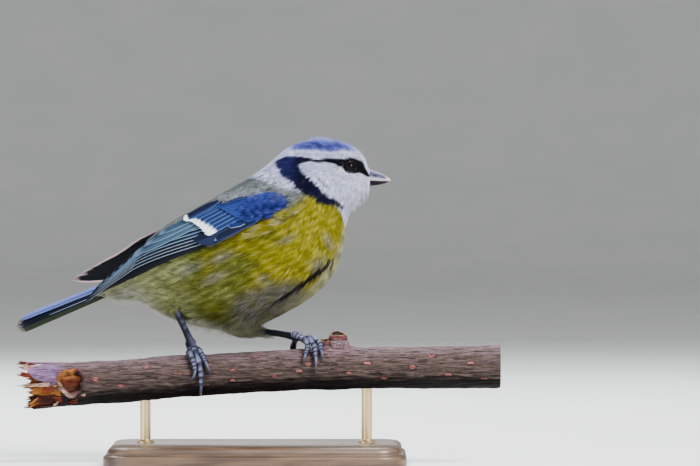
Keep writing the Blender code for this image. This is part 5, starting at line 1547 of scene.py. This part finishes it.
core_tone = 0.5 + 0.5 * waves(core_x, core_turn, 24, 6, 3, 19)
core_colours = blend(np.clip(core_tone, 0, 1), (0.085, 0.016, 0.010), (0.27, 0.095, 0.030))
# Painted shade: the core darkens deep in the hollow of its end, near the bark on its lower near side, and on its
# underside.
core_colours = blend(depth * 0.8, core_colours, (0.030, 0.008, 0.004))
core_colours = blend(smooth_step(-59.5, -57.0, core_x) * smooth_step(1.5, 1.9, core_turn), core_colours,
                     (0.010, 0.004, 0.003))
core_colours = blend(smooth_step(2.0, 2.5, np.abs(np.arctan2(np.sin(core_turn), np.cos(core_turn)))) * 0.9,
                     core_colours, (0.008, 0.004, 0.003))
mesh_piece("torn_core", core_points.reshape(-1, 3), sheet_triangles(CORE_ROWS, CORE_SIDES, closed=True),
           wood_finish, ("perch",), "bark", core_colours.reshape(-1, 3))


def bark_strip(x, turn, length, width, curl, twist, seed, colour):
    """A strip of bark rooted at x that lifts away to the left and curls."""
    dice = np.random.default_rng(seed)
    rows, columns = 16, 9
    u, v = np.meshgrid(np.linspace(0, 1, rows), np.linspace(-1, 1, columns), indexing="ij")
    ragged = 0.16 * np.sin(7 * v + dice.uniform(0, 6)) + 0.1 * np.sin(15 * v + dice.uniform(0, 6))
    along = length * u * (1 + ragged * u)
    across = width * v * (1 - 0.45 * u ** 2) * (1 + 0.1 * np.sin(9 * u + dice.uniform(0, 6))) + twist * u * u
    lift = -0.3 + curl * u ** 2 + 0.5 * v * v * u + 0.15 * np.sin(5 * u + dice.uniform(0, 6))
    top = perch_place(x - along, turn + across / 6.0, lift + 0.14).reshape(-1, 3)
    under = perch_place(x - along, turn + across / 6.0, lift - 0.14).reshape(-1, 3)
    edge = np.maximum(smooth_step(0.8, 1.0, u), smooth_step(0.8, 1.0, np.abs(v))).ravel()[:, None]
    face = np.array(colour) * (1 + 0.8 * edge)
    # The underside of each strip is its colour at half brightness: painted shade.
    return (np.concatenate([top, under]), slab_triangles(rows, columns)[:, ::-1], np.concatenate([face, face * 0.5]))


# The black strips under the torn bark stand where there is only shadow: painted shadow.
SHADOW_BLACK_STRIP, VIOLET_STRIP, PINK_EDGE = (0.020, 0.009, 0.009), (0.240, 0.150, 0.185), (0.42, 0.24, 0.20)
ORANGE_WOOD, CREAM, RUST = (0.27, 0.095, 0.018), (0.46, 0.31, 0.20), (0.13, 0.026, 0.012)
STRIPS = ((-49.5, 0.10, 15.0, 1.4, 0.5, -0.3, VIOLET_STRIP), (-61.5, 0.25, 3.8, 0.9, 0.7, 0.2, RUST),
          (-60.4, 0.62, 4.8, 1.5, 0.5, 0.2, PINK_EDGE), (-61.4, 1.05, 4.4, 0.8, 0.6, 0.2, RUST),
          (-57.6, 1.52, 8.4, 0.5, 0.2, 0.1, CREAM), (-54.4, 1.80, 8.2, 1.5, -0.6, 0.2, ORANGE_WOOD),
          (-54.6, 1.70, 4.6, 0.9, 0.7, 0.2, RUST), (-54.0, 2.32, 8.8, 1.2, 0.3, 0.6, RUST),
          (-59.0, 2.25, 3.8, 1.0, 0.8, 0.9, ORANGE_WOOD),
          (-53.5, 2.25, 7.0, 1.5, 0.2, -0.3, SHADOW_BLACK_STRIP), (-54.5, 2.85, 7.0, 1.6, 0.4, -0.5, SHADOW_BLACK_STRIP),
          (-54.4, 2.50, 1.9, 0.5, 0.6, 0.0, CREAM), (-49.8, 2.50, 2.4, 1.0, 0.6, 0.0, RUST),
          (-47.2, 2.08, 1.6, 0.3, 0.3, 0.0, PINK_EDGE), (-56.0, 3.5, 7.4, 1.6, 0.4, 0.4, SHADOW_BLACK_STRIP),
          (-55.0, 4.4, 7.0, 2.0, 0.7, 0.3, RUST), (-55.5, 5.3, 7.2, 1.9, 0.5, -0.4, VIOLET_STRIP))
strips = [bark_strip(*strip[:6], 60 + number, strip[6]) for number, strip in enumerate(STRIPS)]
mesh_piece("bark_strips", *joined(strips)[:2], wood_finish, ("perch",), "bark", joined(strips)[2])

# %% [markdown]
# A bud scar stands on the knot in front of the far foot: a short stub with a swollen rim and a dark
# sunken top. It's a turned shape with a wavy rim.

# %% Bud scar
BUD_X, BUD_TOP, BUD_RADIUS = 22.8, 36.6, 2.3
STUB_PROFILE = ((1.15, -6.2), (1.28, -4.3), (1.42, -2.9), (1.36, -2.2), (1.20, -1.75), (1.24, -1.35), (1.20, -0.8),
                (1.10, -0.3), (0.94, 0.0), (0.78, -0.12), (0.66, -0.42), (0.4, -0.30), (0.02, -0.20))


def bark_stub(name, x, y, top, radius, seed):
    """A stub turned about an upright axis, with a wavy outline."""
    sides = 64
    profile = spline_rows(STUB_PROFILE, np.linspace(0, len(STUB_PROFILE) - 1, 44))
    turn = np.arange(sides) * TAU / sides
    dice = np.random.default_rng(seed)
    wobble = 1 + 0.07 * np.sin(3 * turn + dice.uniform(0, 6)) + 0.05 * np.sin(7 * turn + dice.uniform(0, 6))
    reach = profile[:, :1] * radius * wobble
    height = top + profile[:, 1:] + 0.14 * np.sin(2 * turn + dice.uniform(0, 6)) * smooth_step(-2, 0, profile[:, 1:])
    height = height + 0.3 * reach * np.sin(turn) * smooth_step(-2.2, 0, profile[:, 1:])
    points = np.stack([x + reach * np.cos(turn), y + reach * np.sin(turn), height], -1)
    ring = np.linspace(0, 1, 44)[:, None] + 0 * turn
    colour = blend(np.exp(-((ring - 0.36) / 0.03) ** 2), np.broadcast_to(PINK_BARK, (*ring.shape, 3)), INK)
    colour = blend(smooth_step(0.38, 0.44, ring), colour, (0.105, 0.032, 0.032))
    colour = blend(smooth_step(0.60, 0.66, ring), colour, (0.26, 0.125, 0.050))
    colour = blend(smooth_step(0.70, 0.75, ring), colour, (0.010, 0.004, 0.004))
    return mesh_piece(name, points.reshape(-1, 3), sheet_triangles(44, sides, closed=True), bark_finish,
                      ("perch",), "bark", colour.reshape(-1, 3))


bark_stub("bud_scar", BUD_X, -0.4, BUD_TOP, BUD_RADIUS * 0.92, 71)
bark_stub("small_bud", 19.3, -0.8, 34.9, 1.25, 72)

# %% [markdown]
# Bare legs are covered with scales: broad plates down the front of the shank and across the top of
# each toe, and soft pads beneath. A saw-tooth along the tube gives each plate its raised lower edge.
# The toes follow the round of the branch, three in front and one behind, as a perching bird grips.

# %% Legs and toes
leg_finish = Finish("leg_scales", roughness=0.5, Specular_IOR_Level=0.12)
leg_spot = leg_finish.place()
pebbles = leg_finish.cells(leg_spot, 4.5)
leg_tone = leg_finish.noise(leg_spot, 1.2, 3.0)
leg_finish.set(Base_Color=leg_finish.mix(leg_tone.step(0.4, 0.7) * 0.4, leg_finish.painted(),
                                         (0.30, 0.31, 0.38), "SOFT_LIGHT"))
leg_finish.bump(pebbles * -0.5 + leg_tone, 0.8, 0.12)
claw_finish = Finish("claw_horn", roughness=0.28, Specular_IOR_Level=0.3)
claw_finish.set(Base_Color=claw_finish.painted())
claw_finish.bump(claw_finish.noise(claw_finish.stretch(claw_finish.place(), (1.0, 1.0, 1.0)), 3.0), 0.25, 0.04)
# The pale leg colour is a painted highlight; the dark one is the seams between scales and also painted shade beneath.
LEG_BLUE, LEG_DARK, LEG_HIGHLIGHT = (0.030, 0.034, 0.068), (0.003, 0.0035, 0.008), (0.20, 0.205, 0.31)
TOE_RADIUS, CLAW_RADIUS, TARSUS_RADIUS = 0.92, 0.52, 0.95
RIGHT_TOES = {
    "inner": ((-17.4, 3, 2.2), (-15.8, 24, 1.9), (-14.7, 42, 1.5), (-14.1, 57, 1.3)),
    "middle": ((-17.9, 4, 2.4), (-16.9, 30, 2.0), (-15.8, 58, 1.6), (-15.2, 86, 1.4), (-15.2, 110, 1.3)),
    "outer": ((-18.5, 4, 2.2), (-18.3, 30, 1.8), (-17.3, 56, 1.5), (-16.8, 77, 1.35)),
    "hind": ((-18.4, -6, 2.1), (-18.9, -34, 1.6), (-19.1, -64, 1.35)),
}
RIGHT_CLAWS = {
    "inner": ((-13.5, 69, 1.35), (-12.8, 82, 1.1), (-12.3, 93, 0.55)),
    "middle": ((-15.3, 124, 1.3), (-15.4, 141, 1.1), (-15.5, 156, 0.55)),
    "outer": ((-17.2, 88, 1.5), (-18.2, 97, 1.25), (-19.4, 101, 0.55)),
    "hind": ((-19.2, -82, 1.6), (-19.1, -102, 1.4), (-19.0, -118, 0.55)),
}
LEFT_TOES = {
    "inner": ((11.6, 4, 3.3), (13.9, 18, 2.9), (14.5, 36, 1.9), (13.9, 51, 1.4)),
    "middle": ((12.0, 0, 3.6), (14.9, 16, 3.1), (16.5, 38, 2.1), (16.7, 60, 1.5)),
    "outer": ((11.8, -5, 3.3), (15.6, 5, 2.9), (17.9, 24, 1.8), (18.2, 42, 1.35)),
    "hind": ((11.0, -8, 2.9), (10.3, -34, 1.7), (10.1, -62, 1.35)),
}
LEFT_CLAWS = {
    "inner": ((13.6, 60, 1.45), (13.2, 68, 1.1), (12.9, 75, 0.6)),
    "middle": ((16.8, 74, 1.6), (16.6, 90, 1.35), (16.2, 105, 0.55)),
    "outer": ((18.5, 53, 1.35), (18.6, 63, 1.05), (18.6, 72, 0.6)),
    "hind": ((10.0, -80, 1.6), (10.1, -98, 1.4), (10.2, -114, 0.55)),
}
LEGS = {
    "right": (((-23.0, -6.4, 44.4), (-18.4, -1.6, 34.6)), RIGHT_TOES, RIGHT_CLAWS),
    "left": (((1.4, 4.8, 36.9), (10.2, 0.6, 35.9)), LEFT_TOES, LEFT_CLAWS),
}


def scaled_tube(path, radii, upward, plates, relief, pale=0.75, shade=1.0, sides=28):
    """A closed tube with plates across its upper side: points, triangles and colours, with painted shade and
    highlights.
    """
    rows = len(path)
    ahead = unit(np.gradient(path, axis=0))
    side = unit(np.cross(ahead, upward))
    top = np.cross(side, ahead)
    turn = np.arange(sides) * TAU / sides
    share = np.linspace(0, 1, rows)[:, None]
    saw = (share * plates + 0.35 * np.sin(share * 9 + 2.0 * plates)) % 1.0
    upper = np.clip(np.sin(turn) + 0.25, 0, 1)[None, :]
    reach = np.asarray(radii)[:, None] * (1 + relief * upper * (saw - 0.5) + 0.4 * relief * (1 - upper)
                                          * np.sin(share * plates * 14 + 5 * turn))
    points = (path[:, None] + reach[..., None] * (np.cos(turn)[None, :, None] * side[:, None]
                                                  + np.sin(turn)[None, :, None] * top[:, None]))
    # The underside of the tube goes dark as painted shade, and one side of each raised plate gets a painted
    # highlight.
    colour = blend(upper * 0.5, LEG_DARK, LEG_BLUE)
    colour = blend(np.clip(np.sin(turn + 0.5), 0, 1) ** 2 * smooth_step(0.1, 0.7, saw) * pale, colour, LEG_HIGHLIGHT)
    colour = blend(upper * smooth_step(0.80, 0.98, saw) * 0.9, colour, LEG_DARK)
    ends = np.stack([path[0], path[-1] + ahead[-1] * radii[-1] * 0.6])
    colours = np.concatenate([colour.reshape(-1, 3), colour[0, :1], colour[-1, :1]]) * shade
    return np.concatenate([points.reshape(-1, 3), ends]), capped_triangles(rows, sides), colours


def claw_part(path, rows=26, sides=18):
    """A curved claw, pressed flat from side to side: points, triangles and colours."""
    way = spline_rows(path, np.linspace(0, len(path) - 1, rows))
    ahead = unit(np.gradient(way, axis=0))
    side = unit(np.cross(ahead, (1.0, 0.2, 0.1)))
    top = np.cross(side, ahead)
    share = np.linspace(0, 1, rows)[:, None]
    radius = CLAW_RADIUS * (1 - share ** 1.4) ** 0.9 + 0.02
    turn = np.arange(sides) * TAU / sides
    points = way[:, None] + radius[..., None] * (1.12 * np.cos(turn)[None, :, None] * side[:, None]
                                                 + 0.8 * np.sin(turn)[None, :, None] * top[:, None])
    colour = blend(np.broadcast_to(smooth_step(0.1, 0.8, share), (rows, sides)), (0.07, 0.075, 0.12),
                   (0.014, 0.014, 0.022))
    return points.reshape(-1, 3), sheet_triangles(rows, sides, closed=True), colour.reshape(-1, 3)


def on_branch(rows):
    rows = np.asarray(rows, float)
    return perch_place(rows[:, 0], np.radians(rows[:, 1]), rows[:, 2])


for label, (shank, toes, claws) in LEGS.items():
    top, low = np.array(shank)
    share = np.linspace(-0.06, 1.05, 110)[:, None]
    bow = np.sin(math.pi * np.clip(share, 0, 1)) * np.array([0.0, 0.0, 0.25])
    path = top + share * (low - top) + bow
    flare = 1 + 0.22 * np.abs(2 * np.clip(share[:, 0], 0, 1) - 1) ** 3
    front = (1.0, -0.3, 0.4) if label == "right" else (0.1, -0.2, 1.0)
    near = label == "right"
    points, triangles, colours = scaled_tube(path, TARSUS_RADIUS * flare, front, 4, 0.03, 0.35 * near,
                                             1.0 if near else 0.3)
    mesh_piece(f"shank_{label}", points, triangles, leg_finish, ("tarsus_" + label,), "leg_skin", colours)
    parts, horn = [], []
    knuckle = np.mean([on_branch(rows)[0] for rows in toes.values()], axis=0)
    heel = low - unit(low - top) * 0.4
    pad_path = spline_rows([heel, (heel + knuckle) / 2 + (0, 0, 0.2), knuckle], np.linspace(0, 2, 40))
    parts.append(scaled_tube(pad_path, np.interp(np.linspace(0, 1, 40), (0, 0.5, 1), (1.0, 1.55, 1.35)),
                             front, 4, 0.10))
    for name, rows in toes.items():
        way = spline_rows(on_branch(rows), np.linspace(-0.1, len(rows) - 1, 110))
        along = np.linspace(0, 1, 110)
        joints = 1 + 0.13 * np.cos(along * (len(rows) - 1) * TAU)
        outward = way - np.stack([way[:, 0], 0 * way[:, 0], perch_height(way[:, 0])], 1)
        parts.append(scaled_tube(way, TOE_RADIUS * (1 - 0.25 * along) * joints, unit(outward), 6, 0.12, 0.65))
        claw_rows = on_branch(claws[name])
        horn.append(claw_part(np.concatenate([way[-6:-5], claw_rows])))
    points, triangles, colours = joined(parts)
    mesh_piece(f"toes_{label}", points, triangles, leg_finish, ("foot_" + label,), "leg_skin", colours)
    points, triangles, colours = joined(horn)
    mesh_piece(f"claws_{label}", points, triangles, claw_finish,
               tuple(f"claw_{label}_{name}" for name in claws), "claw_horn", colours)

# %% [markdown]
# The stand is plain: a dark oiled board with a moulded edge and two slim brass rods that go up into
# the branch. The board is one profile swept round a rectangle with round corners.

# %% Stand
STAND_LENGTH, STAND_BREADTH, STAND_HEIGHT = 84.0, 60.0, 6.0
BOARD_PROFILE = ((0.9, 0.0), (0.25, 0.15), (0.0, 0.7), (0.0, 2.6), (0.2, 3.2), (0.9, 3.6), (1.1, 3.8), (1.1, 4.3),
                 (1.35, 5.0), (2.0, 5.6), (3.0, 5.9), (3.8, 6.0))
ROD_RADIUS, ROD_PLACES = 1.5, {"back": -31.0, "front": 31.0}
oak = Finish("dark_oiled_wood", roughness=0.38, Coat_Weight=0.25, Coat_Roughness=0.3)
oak_spot = oak.place()
warp = oak.noise(oak.stretch(oak_spot, (0.02, 0.06, 0.2)), 1.0, 3.0)
grain = oak.noise(oak.stretch(oak_spot, (0.05, 0.9, 0.9)), 1.2, 8.0, 0.7)
_, oak_y, _ = oak.split(oak_spot)
bands = (oak_y * 0.9 + warp * 26.0 + grain * 2.0).wave() * 0.5 + 0.5
oak_colour = oak.mix(bands, (0.052, 0.028, 0.016), (0.105, 0.060, 0.034))
oak.set(Base_Color=oak.mix(grain.step(0.5, 0.7) * 0.6, oak_colour, (0.025, 0.013, 0.008)),
        Roughness=grain * 0.2 + 0.32)
oak.bump(grain, 0.35, 0.08)
brass = Finish("brushed_brass", roughness=0.3, Metallic=1.0)
brushing = brass.noise(brass.stretch(brass.place(), (1.2, 1.2, 14.0)), 1.0, 3.0)
brass.set(Base_Color=brass.mix(brushing, (0.62, 0.44, 0.20), (0.80, 0.64, 0.36)), Roughness=brushing * 0.25 + 0.2)
brass.bump(brushing, 0.2, 0.03)


def rounded_ring(inset, z, corner=8.0, steps=12):
    """A rectangle with round corners, drawn in by an inset."""
    points = []
    for quarter in range(4):
        sign_x = 1 if quarter in (0, 3) else -1
        sign_y = 1 if quarter in (0, 1) else -1
        for turn in math.pi / 2 * (quarter + np.linspace(0, 1, steps)):
            points.append((sign_x * (STAND_LENGTH / 2 - corner) + (corner - inset) * math.cos(turn),
                           sign_y * (STAND_BREADTH / 2 - corner) + (corner - inset) * math.sin(turn), z))
    return np.array(points)


profile = spline_rows(BOARD_PROFILE, np.linspace(0, len(BOARD_PROFILE) - 1, 34))
rings = [rounded_ring(max(inset, 0.0), min(max(z, 0.0), STAND_HEIGHT)) for inset, z in profile]
rings = [rings[0] * (0.01, 0.01, 1.0), *rings, rings[-1] * (0.01, 0.01, 1.0)]
board = mesh_piece("stand_board", np.concatenate(rings), sheet_triangles(len(rings), len(rings[0]), closed=True),
                   oak, ("stand_base",), "stand_base")
board.data.set_sharp_from_angle(angle=math.radians(35))
for label, x in ROD_PLACES.items():
    top = float(perch_height(x) - perch_radius(x, math.pi)) + 1.5
    rod_profile = [(0.01, STAND_HEIGHT - 1), (ROD_RADIUS + 0.9, STAND_HEIGHT - 1), (ROD_RADIUS + 0.9, STAND_HEIGHT + 0.5),
                   (ROD_RADIUS + 0.55, STAND_HEIGHT + 0.9), (ROD_RADIUS, STAND_HEIGHT + 1.0), (ROD_RADIUS, top),
                   (0.01, top)]
    turn = np.arange(40) * TAU / 40
    points = np.array([[(x + r * math.cos(t), r * math.sin(t), z) for t in turn] for r, z in rod_profile])
    rod = mesh_piece("rod_" + label, points.reshape(-1, 3), sheet_triangles(len(rod_profile), 40, closed=True),
                     brass, ("stand_rod_" + label,), "stand_rod")
    rod.data.set_sharp_from_angle(angle=math.radians(35))

# %% Finish
sizes = {"cad": [list(corner) for corner in cad_box], "visual": [list(corner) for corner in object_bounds()]}
print("model, mm:", [round((b - a) / MM, 1) for a, b in zip(*sizes["visual"])])
